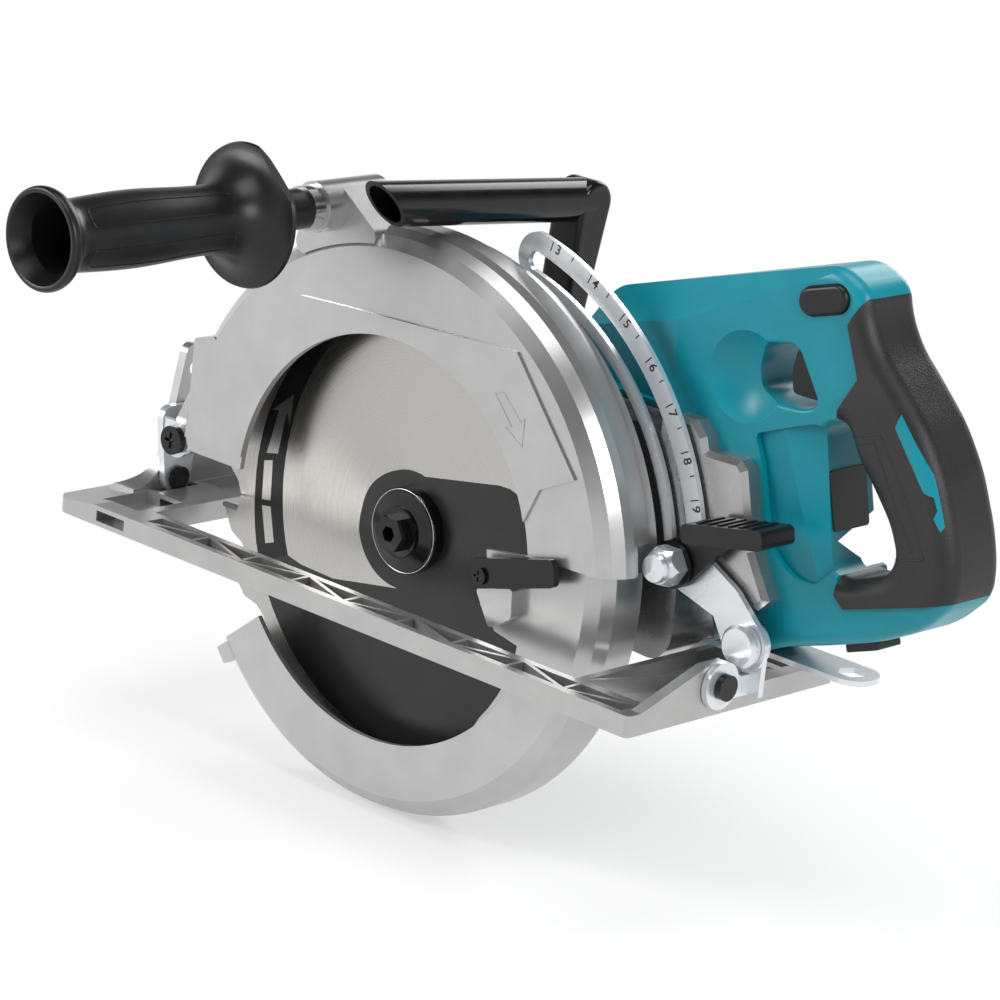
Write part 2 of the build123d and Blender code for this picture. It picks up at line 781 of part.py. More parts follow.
def bevel_lock_lever():
    front = quadrant_x - running_gap
    hub = rod_x(bevel_bolt_y, bevel_bolt_z, front - 9, front, 8)
    arm = hull_of((bevel_bolt_y, bevel_bolt_z, 7), (bevel_bolt_y + 34, bevel_bolt_z + 18, 5.5))
    lever = hub + sheet_x(arm, front - 9, front - 3)
    return lever - rod_x(bevel_bolt_y, bevel_bolt_z, front - 10, front + 1, bevel_bolt_radius + shaft_gap)


eye_thick = 3.0
eye_radius = 11.0
rear_ear_thick = 3.3
rivet_head = 10.0


def rear_pivot_bracket():
    near = base_rear + running_gap
    ear_y = block_face
    reach = ear_y + rear_ear_thick
    low = base_height - 2.6
    eye = Pos(bevel_y, bevel_z) * Circle(eye_radius)
    eye += Pos(reach / 2, low + 4.8) * Rectangle(reach, 9.6)
    bracket = sheet_x(eye, near, near + eye_thick)
    ear = Pos(guide_pivot_x, guide_pivot_z) * Circle(rivet_head)
    ear += Pos(near + 4.5, (low + guide_pivot_z) / 2) * Rectangle(9, guide_pivot_z - low)
    bracket += slab(ear, ear_y, reach)
    bracket -= rod_x(bevel_y, bevel_z, near - 1, near + eye_thick + 1, pivot_radius + shaft_gap)
    return bracket - rod_y(guide_pivot_x, guide_pivot_z, ear_y - 1, reach + 1, pivot_radius + seat_gap)


def rear_pivot_pin():
    seat = base_rear + eye_thick + 2 * running_gap
    shank = rod_x(bevel_y, bevel_z, base_rear - 7, seat, pivot_radius)
    return shank + rod_x(bevel_y, bevel_z, seat, seat + 3.4, pin_head)


def guide_pivot_rivet():
    tail = block_face + rear_ear_thick
    seat = guide_y - running_gap
    shank = rod_y(guide_pivot_x, guide_pivot_z, seat, tail, pivot_radius)
    top = seat - 4.7
    profile = [(0, seat), (rivet_head, seat), (rivet_head, seat - 3.3), (rivet_head - 1.6, top), (0, top)]
    head = turned(profile, guide_pivot_x, guide_pivot_z)
    return shank + head + rod_y(guide_pivot_x, guide_pivot_z, tail, tail + 2.4, 6.5)


# Depth guide and clamp

clamp = (clamp_x, clamp_z)
front_pivot = (front_pivot_x, front_pivot_z)
guide_pivot = (guide_pivot_x, guide_pivot_z)
guide_foot = 12.0


def slot_point(lift):
    """Place of the clamp bolt in the guide when the body is lifted by an angle."""
    return rotate_point(rotate_point(clamp, front_pivot, lift), guide_pivot, guide_ratio * lift)


def circle_through(p, q, r):
    """Centre and radius of the circle through three points."""
    d = 2 * (p[0] * (q[1] - r[1]) + q[0] * (r[1] - p[1]) + r[0] * (p[1] - q[1]))
    pp = p[0] ** 2 + p[1] ** 2
    qq = q[0] ** 2 + q[1] ** 2
    rr = r[0] ** 2 + r[1] ** 2
    u = (pp * (q[1] - r[1]) + qq * (r[1] - p[1]) + rr * (p[1] - q[1])) / d
    v = (pp * (r[0] - q[0]) + qq * (p[0] - r[0]) + rr * (q[0] - p[0])) / d
    return u, v, hypot(p[0] - u, p[1] - v)


def depth_guide():
    low = slot_point(0)
    high = slot_point(depth_travel)
    u, v, radius = circle_through(low, slot_point(depth_travel / 2), high)
    start = degrees(atan2(low[1] - v, low[0] - u))
    sweep = degrees(atan2(high[1] - v, high[0] - u)) - start + guide_overrun
    half_slot = clamp_radius + guide_slot_gap
    band = radius + (guide_outer_leg - guide_inner_leg) / 2
    width = 2 * half_slot + guide_inner_leg + guide_outer_leg
    elbow = (guide_pivot_x - 13, guide_pivot_z + 16, 9)
    face = SlotArc(CenterArc((u, v), band, start, sweep), width)
    face += hull_of((clamp_x, clamp_z, guide_foot), elbow)
    face += hull_of(elbow, (guide_pivot_x, guide_pivot_z, guide_foot))
    face -= SlotArc(CenterArc((u, v), radius, start, sweep), 2 * half_slot)
    face -= Pos(guide_pivot_x, guide_pivot_z) * Circle(pivot_radius + shaft_gap)
    return slab(face, guide_y, guide_back)


washer_thick = 1.4
washer_radius = 11.0
lever_thick = 4.1
lever_back = guide_y - running_gap
lever_front = lever_back - lever_thick
clamp_nut_face = lever_front - running_gap - washer_thick
clamp_root = handle_near - 0.5
nut_length = 14.0
nut_radius = 9.5


def depth_clamp_bolt():
    return rod_y(clamp_x, clamp_z, clamp_nut_face - nut_length + 3, clamp_root, clamp_radius)


def depth_clamp_nut():
    face = clamp_nut_face
    hexagon = slab(Pos(clamp_x, clamp_z) * RegularPolygon(nut_radius, 6), face - 10, face)
    hexagon += rod_y(clamp_x, clamp_z, face - nut_length, face - 9, 7)
    crown = [
        (0, face), (nut_radius, face), (nut_radius, face - 6), (7.5, face - 10), (6.2, face - 13),
        (0, face - nut_length),
    ]
    nut = turned(crown, clamp_x, clamp_z) & hexagon
    return nut - rod_y(clamp_x, clamp_z, face - nut_length + 3, face + 1, clamp_radius + seat_gap)


def depth_clamp_washer():
    return tube_y(clamp_x, clamp_z, clamp_nut_face, clamp_nut_face + washer_thick, washer_radius,
                  clamp_radius + seat_gap)


paddle_near = -8.0
paddle_angle = 11.0
paddle_length = 46.0
paddle_thick = 9.0
paddle_x = clamp_x + 39
paddle_z = clamp_z + 26
ridge_count = 6


def depth_lock_lever():
    arm = hull_of((clamp_x, clamp_z, 11), (clamp_x + 24, paddle_z - 6, 6))
    lever = slab(arm, lever_front, lever_back)
    place = Pos(paddle_x, paddle_z) * Rot(0, 0, paddle_angle)
    paddle = slab(place * RectangleRounded(paddle_length, paddle_thick, 3), paddle_near, lever_back)
    for i in range(ridge_count):
        along = -paddle_length / 2 + 8 + 6 * i
        ridge = place * Pos(along, paddle_thick / 2) * Rectangle(2, 1.6)
        paddle += slab(ridge, paddle_near + 2.5, lever_back - 2.5)
    lever += paddle
    return lever - rod_y(clamp_x, clamp_z, lever_front - 1, lever_back + 1, clamp_radius + shaft_gap)


# Gear housing

rear_block = [
    (0, 27), (0, 83), (10, 88), (21, 88), (27, 82), (29, 76), (48, 76.5), (52, 73), (61, 38), (73, 18),
    (67, 12), (41, 10), (16, 11),
]
case_front_radius = 58.0
case_step_y = 43.5
case_low = base_height + 3.5
lock_y = 33.0
lock_rise = 22.0
lock_radius = 6.0
lock_face = -53.0
lock_end = -41.0
lock_travel = 4.0
cavity_front = gear_y - 2
cavity_back = gear_y + gear_width + 3
gear_cavity = gear_module * gear_teeth / 2 + gear_module + 1.5
pinion_cavity = gear_module * pinion_teeth / 2 + gear_module + 2


def gear_housing():
    front = block_face + 1.2
    outline = [
        (-46, -11), (-30, -37), (4, -43), (40, -39), (tail_x - 6, -26), (tail_x + 14, -27),
        (tail_x + 22, -18), (tail_x + 22, 7), (tail_x + 10, 71), (tail_x, 79), (56, 80), (10, 77),
        (-30, 59), (-46, 31),
    ]
    case = slab(soft(moved(outline, 0, arbor_z), 6), front, case_back)
    case += rod_y(0, arbor_z, front, case_step_y, gear_cavity + case_wall)
    case += rod_y(0, arbor_z, upper_back_y, front + 1, case_front_radius)
    case += rod_y(0, arbor_z, retainer_y - 0.4, upper_back_y + 1, hub_radius)
    case -= block(-2 * upper_outer, 2 * upper_outer, case_step_y, case_back + 1, -2 * arbor_z, case_low)
    rear = slab(polygon(moved(rear_block, tail_x, arbor_z)), front, handle_near)
    case += chamfer(rear.faces().sort_by(Axis.Y)[0].edges(), 2.5)
    case += rod_y(clamp_x, clamp_z, block_face, handle_near, 11)
    case -= rod_y(clamp_x, clamp_z, block_face - 1, clamp_root, clamp_radius + seat_gap)
    case -= rod_y(0, arbor_z, retainer_y - 2, front_bearing_y, front_bearing_radius + 0.5)
    seat_end = front_bearing_y + front_bearing_width
    case -= rod_y(0, arbor_z, front_bearing_y, seat_end, front_bearing_radius + seat_gap)
    case -= rod_y(0, arbor_z, front_bearing_y, rear_bearing_y + 1, spindle_radius + 5)
    seat_end = rear_bearing_y + rear_bearing_width
    case -= rod_y(0, arbor_z, rear_bearing_y, seat_end, rear_bearing_radius + seat_gap)
    case -= rod_y(0, arbor_z, cavity_front, cavity_back, gear_cavity)
    case -= rod_y(motor_x, motor_z, cavity_front, cavity_back, pinion_cavity)
    seat_end = rear_bearing_y + motor_bearing_width
    case -= rod_y(motor_x, motor_z, rear_bearing_y, seat_end, motor_bearing_radius + seat_gap)
    case -= rod_y(motor_x, motor_z, cavity_back - 1, case_back + 1, shaft_radius + 4)
    lock_floor = lock_end + lock_travel + 1
    return case - rod_x(lock_y, arbor_z + lock_rise, lock_face - 10, lock_floor, lock_radius + running_gap)


def shaft_lock_button():
    return rod_x(lock_y, arbor_z + lock_rise, lock_face, lock_end, lock_radius)


# Motor housing and battery bay

housing_low = arbor_z - 11
housing_top = arbor_z + 79
bay_front = tail_x - 14
rear_profile = [(0, 51), (35, 51), (41, 59), (41, 71), (35, 79), (0, 79)]
board_wall = 5.0
board_width = 27.0


def motor_housing():
    box_outline = [
        (motor_x, housing_low), (bay_front, housing_low), (bay_front, housing_top), (motor_x, housing_top),
    ]
    body = slab(soft(box_outline, 4), handle_far, housing_end)
    rear = polygon(moved(rear_profile, handle_far, arbor_z))
    body += sheet_x(rear, bay_front - 5, housing_rear)
    body += rod_y(motor_x, motor_z, case_back, housing_end, motor_wall_radius)
    body -= rod_y(motor_x, motor_z, case_back - 1, motor_rear_bearing_y - 2, stator_radius)
    seat_end = motor_rear_bearing_y + motor_bearing_width
    body -= rod_y(motor_x, motor_z, motor_rear_bearing_y - 3, seat_end, motor_bearing_radius + seat_gap)
    body -= rod_y(motor_x, motor_z, motor_rear_bearing_y, shaft_end + 0.5, shaft_radius + 4)
    return body - board_space(0)


def board_space(inset):
    """Room for the control board inside the rear of the housing, made smaller by an inset."""
    y_low = handle_far + board_wall
    z_low = arbor_z + rear_profile[0][1] + board_wall
    x_high = housing_rear - board_wall
    z_high = housing_top - board_wall
    y_high = y_low + board_width
    return block(bay_front + inset, x_high - inset, y_low + inset, y_high - inset, z_low, z_high - inset)


vent_count = 7
vent_pitch = 10.0
cover_thick = 6.0


def motor_end_cover():
    """Vented cap over the motor end."""
    reach = motor_wall_radius - 4
    cap = rod_y(motor_x, motor_z, housing_end, housing_end + cover_thick, reach)
    cap = chamfer(cap.faces().sort_by(Axis.Y)[-1].edges(), 2)
    for i in range(vent_count):
        rise = vent_pitch * (i - (vent_count - 1) / 2)
        half = sqrt(reach ** 2 - rise ** 2) - 7
        cap -= block(motor_x - half, motor_x + half, housing_end + 2.5, housing_end + cover_thick + 1,
                     motor_z + rise - 2, motor_z + rise + 2)
    return cap


def control_board():
    """Board that lies on the floor of its room, with a power stage and three capacitors."""
    room = board_space(1.5).bounding_box()
    low = room.min.Z + 2
    board = block(room.min.X, room.max.X, room.min.Y, room.max.Y, room.min.Z, low)
    board += block(room.min.X + 5, room.min.X + 27, room.min.Y + 3, room.max.Y - 3, low, room.max.Z - 5)
    for i in range(3):
        board += rod_y(room.min.X + 34 + 9 * i, low + 3.5, room.min.Y + 3, room.max.Y - 5, 4)
    return board


def terminal_block():
    """Contacts for the battery on the front wall of its bay."""
    low = arbor_z + 12
    y_low = handle_far + 32
    body = block(bay_front, bay_front + 9, y_low, y_low + 18, low, low + 12)
    for i in range(3):
        y = y_low + 4 + 5 * i
        body -= block(bay_front + 3, bay_front + 10, y - 1, y + 1, low + 2, low + 13)
    return body


def rating_plate():
    """Bare plate on the front wall of the hand opening."""
    foot, head = at_handle([hand_opening[-1], hand_opening[0]])
    normal = (head[1] - foot[1], 0, foot[0] - head[0])
    wall = Plane(origin=(foot[0], handle_mid, foot[1]), x_dir=(0, 1, 0), z_dir=normal)
    return extrude(wall * Pos(0.5, 28) * RectangleRounded(25, 27, 2), 0.8)


# Handle, measured from its front edge and from the height of the arbor

handle_outline = [
    (0, 83), (0, 124.5), (78, 149), (151, 172), (167, 164), (170.5, 151), (178, 139), (191, 127),
    (206, 112), (218, 94), (228, 70), (232, 54), (232, 40), (217, 24.5), (195, 13), (170, 4), (145, -4),
    (131, -11), (105, -11), (81, 71), (65, 83),
]
hand_opening = [
    (151.5, 99), (159, 105), (166, 102.5), (172, 91), (181.5, 81), (193.5, 66.5), (199, 54), (196, 45),
    (182, 38.5), (174, 36), (166, 40),
]
finger_opening = [(115, 129), (109, 116), (112, 106.5), (126, 104), (142, 105), (149.5, 109), (134, 132.5)]
grip_area = [
    (205, 160.5), (167, 160.5), (161, 148), (170, 126), (160.5, 109), (155, 93), (171, 43), (172, 29),
    (178, 24.2), (252, 47.5), (270, 117), (235, 172),
]
trigger_outline = [(129, 129), (127, 119), (129, 108.5), (148, 108.5), (148, 128)]
accent_outline = [
    (193.2, 110.4), (194.9, 116.8), (219, 89.9), (222, 87.8), (226.6, 81.6), (222.9, 71.7), (219, 76.6),
    (219.6, 80.5), (217, 85.7), (212.4, 86.6),
]
pillar_recess = [
    (117, 88), (134, 95), (150, 101), (156, 100), (170, 40), (160, 30), (150, 29.5), (141, 33), (132, 40),
    (123, 75),
]
pillar_ridge = [(157, 39), (131.5, 93.5)]
ridge_section = [(-26, -1), (-26, 4.5), (0, 1.2), (18, 5.2), (30, 7.9), (30, -1)]
battery_groove = [(-9, 50), (20, 60.5), (20, 30), (5, 30), (5.4, 41)]
groove_stop = 128.0
bevel_crease = [(62.6, 125.8), (129, 158)]
scoop_centre = (108, 111.5)
scoop_radius = 32.0
scoop_rim = 21.0
trigger_near = 37.0
trigger_far = 55.0
trigger_travel = 6.0
button_x = handle_x + 146
button_z = arbor_z + 155.5
button_angle = 17.0
button_length = 27.0
button_height = 13.0
button_face = 26.5
button_end = 38.0
button_travel = 4.0
accent_depth = 3.0


def at_handle(points):
    return moved(points, handle_x, arbor_z)


def handle_plate():
    return soft(at_handle(handle_outline), 8) - soft(at_handle(hand_opening), 6)


def grip_slab():
    return slab(polygon(at_handle(grip_area)), handle_near - grip_proud - 1, handle_far + grip_proud + 1)


def rounded_plate(face, y_low, y_high, edge_round, rim_round):
    """Extruded plate with its outside edges and the edges of its openings rounded over."""
    plate = slab(face, y_low, y_high)
    sides = plate.faces().sort_by(Axis.Y)
    plate = fillet(sides[0].outer_wire().edges() + sides[-1].outer_wire().edges(), edge_round)
    sides = plate.faces().sort_by(Axis.Y)
    rims = sides[0].inner_wires() + sides[-1].inner_wires()
    return fillet([edge for rim in rims for edge in rim.edges()], rim_round)


def grip_bar():
    """Handle in the width of the soft cover, rounded over on both sides."""
    near = handle_near - grip_proud
    far = handle_far + grip_proud
    return rounded_plate(handle_plate(), near, far, grip_round, grip_round)


def grip_core():
    """Inner bar of the grip, which the soft cover wraps."""
    outer = offset(soft(at_handle(handle_outline), 8), -core_inset)
    inner = offset(soft(at_handle(hand_opening), 6), core_inset)
    face = (outer - inner) & polygon(at_handle(grip_area))
    return slab(face, handle_near + core_inset, handle_far - core_inset)


def pillar_cut():
    """Recess in the pillar with two faces that meet in a ridge."""
    (x0, z0), (x1, z1) = at_handle(pillar_ridge)
    along = Vector(x1 - x0, 0, z1 - z0)
    across = Plane(origin=(x0, handle_near, z0), x_dir=(z1 - z0, 0, x0 - x1), z_dir=along)
    prism = extrude(across.offset(-along.length) * polygon(ridge_section), 3 * along.length)
    return prism & slab(soft(at_handle(pillar_recess), 3), handle_near - 5, handle_mid)


def handle_shell():
    face = handle_plate() - soft(at_handle(finger_opening), 5)
    plate = rounded_plate(face, handle_near, handle_far, handle_round, opening_round)
    (x0, z0), (x1, z1) = at_handle(bevel_crease)
    along = Vector(x1 - x0, 0, z1 - z0)
    slope = Vector(0, handle_mid + 4 - handle_near, 18.5)
    top_plane = Plane(origin=(x0, handle_near, z0), x_dir=along, z_dir=along.cross(slope))
    plate = split(plate, bisect_by=top_plane, keep=Keep.BOTTOM)
    front = [(handle_x - 5, handle_near - 1), (handle_x + 67, handle_near - 1), (handle_x + 67, handle_near),
             (handle_x - 5, handle_near + 15)]
    plate -= extrude(Pos(0, 0, arbor_z + 88) * polygon(front), 100)
    x, z = at_handle([scoop_centre])[0]
    plate -= Pos(x, handle_near - sqrt(scoop_radius ** 2 - scoop_rim ** 2), z) * Sphere(scoop_radius)
    plate -= pillar_cut()
    groove = polygon(moved(battery_groove, handle_mid, arbor_z))
    plate -= sheet_x(groove, handle_x + groove_stop, handle_x + pillar_recess[4][0])
    shell = plate - grip_slab() + grip_core()
    pocket = at_handle(trigger_outline)
    pocket_end = pocket[-1][0] + trigger_travel + running_gap
    shell -= block(pocket[0][0] + 6, pocket_end, trigger_near - running_gap, trigger_far + running_gap,
                   pocket[2][1] - running_gap, pocket[0][1] + running_gap)
    button = SlotOverall(button_length + 2 * running_gap, button_height + 2 * running_gap)
    place = Pos(button_x, button_z) * Rot(0, 0, button_angle)
    return shell - slab(place * button, 0, button_end + button_travel + 0.5)


def handle_left():
    return handle_shell() & block(0, 4 * upper_outer, 0, handle_mid, -arbor_z, 4 * upper_outer)


def handle_right():
    return handle_shell() & block(0, 4 * upper_outer, handle_mid, 2 * handle_far, -arbor_z, 4 * upper_outer)


def accent_inserts():
    near = handle_near - grip_proud
    far = handle_far + grip_proud
    face = polygon(at_handle(accent_outline))
    bar = grip_bar()
    sides = [slab(face, near - 1, near + accent_depth) & bar, slab(face, far - accent_depth, far + 1) & bar]
    return Compound(children=sides)


def grip_cover():
    cover = grip_bar() & grip_slab()
    return cover - grip_core() - accent_inserts()


def trigger():
    return slab(soft(at_handle(trigger_outline), 2), trigger_near, trigger_far)


def lock_off_button():
    place = Pos(button_x, button_z) * Rot(0, 0, button_angle)
    button = slab(place * SlotOverall(button_length, button_height), button_face, button_end)
    return fillet(button.faces().sort_by(Axis.Y)[0].edges(), 2)


foot_thick = 4.0


def rubber_foot():
    rear, front = at_handle([handle_outline[14], handle_outline[15]])
    angle = degrees(atan2(rear[1] - front[1], rear[0] - front[0]))
    middle = Pos((rear[0] + front[0]) / 2, (rear[1] + front[1]) / 2) * Rot(0, 0, angle)
    pad = middle * Pos(0, -foot_thick / 2) * RectangleRounded(18, foot_thick, 1)
    return slab(pad, handle_mid - 8, handle_mid + 8)


tether_thick = 2.5
tether_length = 84.0
tether_width = 24.0
tether_eye = 7.0


def tether_plate():
    x = handle_x + 141
    y = handle_mid + 4
    top = arbor_z + handle_outline[18][1]
    face = Pos(x, y) * RectangleRounded(tether_length, tether_width, tether_width / 2 - 1)
    face -= Pos(x + tether_length / 2 - 12, y) * RegularPolygon(tether_eye, 6)
    return extrude(Pos(0, 0, top - tether_thick) * face, tether_thick)


# Side handle and hook


flange_flat = 29.0
flange_flat_angle = 50.0


def side_handle():
    """Turned grip with a swollen middle, a flared open end and a flange that has one flat edge."""
    tip = side_handle_tip
    neck = side_flange_y
    bore = side_stud_radius + seat_gap
    edge = side_flange_radius
    hub = side_boss_front - side_collar
    shoulder = [
        (bore, tip + 60), (bore, hub), (9.5, hub), (9.5, neck + 6), (edge - 3, neck + 2.5),
        (edge, neck + 0.5), (edge - 0.6, neck - 1.2),
    ]
    grip = [
        (edge - 0.6, neck - 1.2), (24, neck - 4.5), (17.6, neck - 14), (15.9, neck - 28), (17.4, neck - 64),
        (16.4, tip + 20), (16.8, tip + 12), (20.5, tip + 6.5),
    ]
    lip = [(20.5, tip + 6.5), (23.2, tip + 3), (22.6, tip), (20.4, tip)]
    bell = [(20.4, tip), (16, tip + 9), (13, tip + 26), (13, tip + 60), (bore, tip + 60)]
    outline = [Polyline(*shoulder), Spline(*grip), Spline(*lip), Polyline(*bell)]
    handle = revolve(make_face(outline), Axis.Y)
    flat = block(flange_flat, 2 * edge, neck - 12, neck + 12, -2 * edge, 2 * edge)
    flat = Rot(0, -flange_flat_angle, 0) * flat
    return Pos(side_handle_x, 0, side_handle_z) * (handle - flat)


def side_handle_stud():
    stud = rod_y(side_handle_x, side_handle_z, side_handle_tip + 66, -8.5, side_stud_radius - seat_gap)
    return stud + rod_y(side_handle_x, side_handle_z, side_boss_front - side_collar, side_boss_front, 10.5)


def hanging_hook():
    rise = hook_slope * (hook_corner_y - hook_tip_y)
    corner = Vector(hook_x, hook_corner_y, hook_corner_z)
    tip = Vector(hook_x, hook_tip_y, hook_corner_z + rise)
    along = (tip - corner).normalized()
    length = (tip - corner).length
    start = Plane(origin=corner, x_dir=(1, 0, 0), z_dir=along)
    arm = extrude(start * Circle(hook_radius), length + 12)
    bore = extrude(start.offset(hook_radius) * Circle(hook_radius - hook_wall), length + 12)
    leg = hull_of((hook_corner_y, hook_corner_z, hook_radius), (hook_pivot_y, hook_pivot_z, 7))
    half = hook_radius - 0.5
    limb = sheet_x(leg, hook_x - half, hook_x + half)
    sides = limb.faces().sort_by(Axis.X)
    limb = fillet(sides[0].edges() + sides[-1].edges(), 3)
    hook = arm + limb - bore
    slant = Plane(origin=tip, x_dir=(1, 0, 0), z_dir=(0, 1, 0.75))
    hook = split(hook, bisect_by=slant, keep=Keep.TOP)
    return hook - rod_x(hook_pivot_y, hook_pivot_z, hook_x - 30, hook_x + 30, pivot_radius + shaft_gap)


hook_ear = 4.0


def hook_bracket():
    """Two ears on the motor housing that carry the hook pin."""
    inner = hook_radius - 0.5 + running_gap
    foot_z = motor_z + sqrt(motor_wall_radius ** 2 - (hook_x - motor_x) ** 2) - 6
    ear = hull_of((hook_pivot_y, hook_pivot_z, 7), (hook_pivot_y, foot_z, 7))
    ears = sheet_x(ear, hook_x - inner - hook_ear, hook_x - inner)
    ears += sheet_x(ear, hook_x + inner, hook_x + inner + hook_ear)
    ears -= rod_y(motor_x, motor_z, 0, housing_end + 10, motor_wall_radius)
    return ears - rod_x(hook_pivot_y, hook_pivot_z, hook_x - 30, hook_x + 30, pivot_radius + seat_gap)


def hook_pin():
    reach = hook_radius - 0.5 + running_gap + hook_ear
    shank = rod_x(hook_pivot_y, hook_pivot_z, hook_x - reach, hook_x + reach, pivot_radius)
    return shank + rod_x(hook_pivot_y, hook_pivot_z, hook_x - reach - 2, hook_x - reach, pin_head)


PIECES = [
    base_plate, bevel_quadrant, front_bevel_pin, rear_pivot_pin, front_pivot_bracket, depth_pivot_bolt,
    bevel_clamp_bolt, bevel_lock_lever, rear_pivot_bracket, guide_pivot_rivet, depth_guide, depth_clamp_bolt,
    depth_clamp_nut, depth_clamp_washer, depth_lock_lever, upper_guard, gear_housing, shaft_lock_button,
    motor_housing, motor_end_cover, control_board, terminal_block, rating_plate, handle_left, handle_right,
    grip_cover, accent_inserts, trigger, lock_off_button, rubber_foot, tether_plate, side_handle,
    side_handle_stud, hanging_hook, hook_bracket, hook_pin, saw_blade, carbide_tips, inner_flange,
    outer_flange, arbor_bolt, spindle, spindle_gear, spindle_front_bearing, spindle_rear_bearing, motor_shaft,
    rotor_core, stator, cooling_fan, motor_bearings, lower_guard, guard_lever, guard_lever_cover,
    guard_lever_screw, guard_retaining_ring, guard_return_spring, guard_stop,
]

os.makedirs("parts", exist_ok=True)
for piece in PIECES:
    solid = piece()
    solid.label = piece.__name__
    export_step(solid, os.path.join("parts", piece.__name__ + ".step"))
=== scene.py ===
# %% [markdown]
# # A rear handle circular saw, dressed for a studio picture
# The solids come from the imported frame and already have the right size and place.
# This lesson gives every solid a finish, adds the marks and small fittings that are too fine for
# the solids, and sets up the camera and the light.

# %% Load the solids
import json
import math

import bpy
from mathutils import Matrix, Vector


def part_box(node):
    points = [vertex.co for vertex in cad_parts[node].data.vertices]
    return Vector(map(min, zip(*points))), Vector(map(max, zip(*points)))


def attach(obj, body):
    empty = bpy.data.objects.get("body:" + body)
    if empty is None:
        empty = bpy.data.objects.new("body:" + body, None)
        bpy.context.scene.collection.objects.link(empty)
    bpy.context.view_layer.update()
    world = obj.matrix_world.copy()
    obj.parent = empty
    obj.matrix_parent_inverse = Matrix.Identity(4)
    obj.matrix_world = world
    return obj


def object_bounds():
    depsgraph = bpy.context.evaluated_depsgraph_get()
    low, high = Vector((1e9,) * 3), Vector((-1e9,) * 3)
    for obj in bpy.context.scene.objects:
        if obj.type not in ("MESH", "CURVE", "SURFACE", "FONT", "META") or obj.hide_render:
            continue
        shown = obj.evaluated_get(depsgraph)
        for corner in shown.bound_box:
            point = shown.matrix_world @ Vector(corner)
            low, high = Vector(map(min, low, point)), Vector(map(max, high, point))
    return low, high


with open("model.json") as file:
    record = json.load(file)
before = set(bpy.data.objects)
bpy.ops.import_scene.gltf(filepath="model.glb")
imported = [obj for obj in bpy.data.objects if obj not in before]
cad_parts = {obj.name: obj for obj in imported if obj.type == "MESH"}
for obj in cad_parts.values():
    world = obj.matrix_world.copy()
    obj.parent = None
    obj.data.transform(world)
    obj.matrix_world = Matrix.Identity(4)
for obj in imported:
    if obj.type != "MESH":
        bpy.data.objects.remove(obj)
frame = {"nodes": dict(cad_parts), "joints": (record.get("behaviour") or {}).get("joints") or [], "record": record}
nodes = frame["nodes"]
record = frame["record"]
solid_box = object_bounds()
MM = 0.001


def box_in_mm(box):
    """The two corners of a box in whole millimetres."""
    return [[round(v / MM) for v in corner] for corner in box]


print("solids loaded:", len(nodes), "box in mm:", box_in_mm(solid_box))

# %% [markdown]
# ## Measures taken from the frame
# The blade's box gives the arbor, and the joints give the two hinges of the depth linkage.
# Everything that is added later is placed from these and from the solids, so it follows them if
# they are made again.

# %% Read the arbor, the hinges and the clamp bolt
blade_low, blade_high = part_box("saw_blade")
arbor = (blade_low + blade_high) / 2
blade_radius = (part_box("carbide_tips")[1].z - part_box("carbide_tips")[0].z) / 2
joints = {joint["name"]: joint for joint in frame["joints"]}
body_hinge = Vector(joints["depth_pivot"]["pos_m"])
guide_hinge = Vector(joints["guide_swing"]["pos_m"])
bolt_low, bolt_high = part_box("depth_clamp_bolt")
clamp_bolt = (bolt_low + bolt_high) / 2
ratios = {coupling["joint"]: coupling["ratio"] for coupling in record["behaviour"]["couplings"]}
guide_ratio = -ratios["guide_swing"]
print("arbor in mm:", [round(v / MM, 1) for v in arbor])
print("blade radius in mm:", round(blade_radius / MM, 1))

# %% [markdown]
# ## Helpers for materials
# A finish on a real part is never one flat colour: castings are speckled, plastic has a fine spark
# texture and sheet metal is cloudy. Each material here mixes two colours by a noise, and bends the
# light with a fine bump. A noise seldom leaves the middle of its range, so that middle is stretched
# over the whole change. All patterns read Object coordinates in metres, so a scale of 1000 means a
# detail of about a millimetre.

# %% Small tools for shader trees
PATTERN_LOW = 0.3
PATTERN_HIGH = 0.7


def new_material(name):
    """An empty material with its shader and a node that gives Object coordinates."""
    material = bpy.data.materials.new(name)
    material.use_nodes = True
    tree = material.node_tree
    shader = tree.nodes["Principled BSDF"]
    coordinates = tree.nodes.new("ShaderNodeTexCoord").outputs["Object"]
    return material, tree, shader, coordinates


def noise(tree, vector, scale, detail=3.0):
    """A cloud pattern from 0 to 1."""
    texture = tree.nodes.new("ShaderNodeTexNoise")
    texture.inputs["Scale"].default_value = scale
    texture.inputs["Detail"].default_value = detail
    tree.links.new(vector, texture.inputs["Vector"])
    return texture.outputs["Fac"]


def cells(tree, vector, scale):
    """A pattern of small cells, for moulded grain."""
    texture = tree.nodes.new("ShaderNodeTexVoronoi")
    texture.inputs["Scale"].default_value = scale
    tree.links.new(vector, texture.inputs["Vector"])
    return texture.outputs["Distance"]


def between(tree, factor, low, high, start=PATTERN_LOW, end=PATTERN_HIGH):
    """Two colours blended by a pattern."""
    blend = tree.nodes.new("ShaderNodeValToRGB")
    blend.color_ramp.elements[0].position = start
    blend.color_ramp.elements[0].color = (*low, 1)
    blend.color_ramp.elements[1].position = end
    blend.color_ramp.elements[1].color = (*high, 1)
    tree.links.new(factor, blend.inputs["Fac"])
    return blend.outputs["Color"]


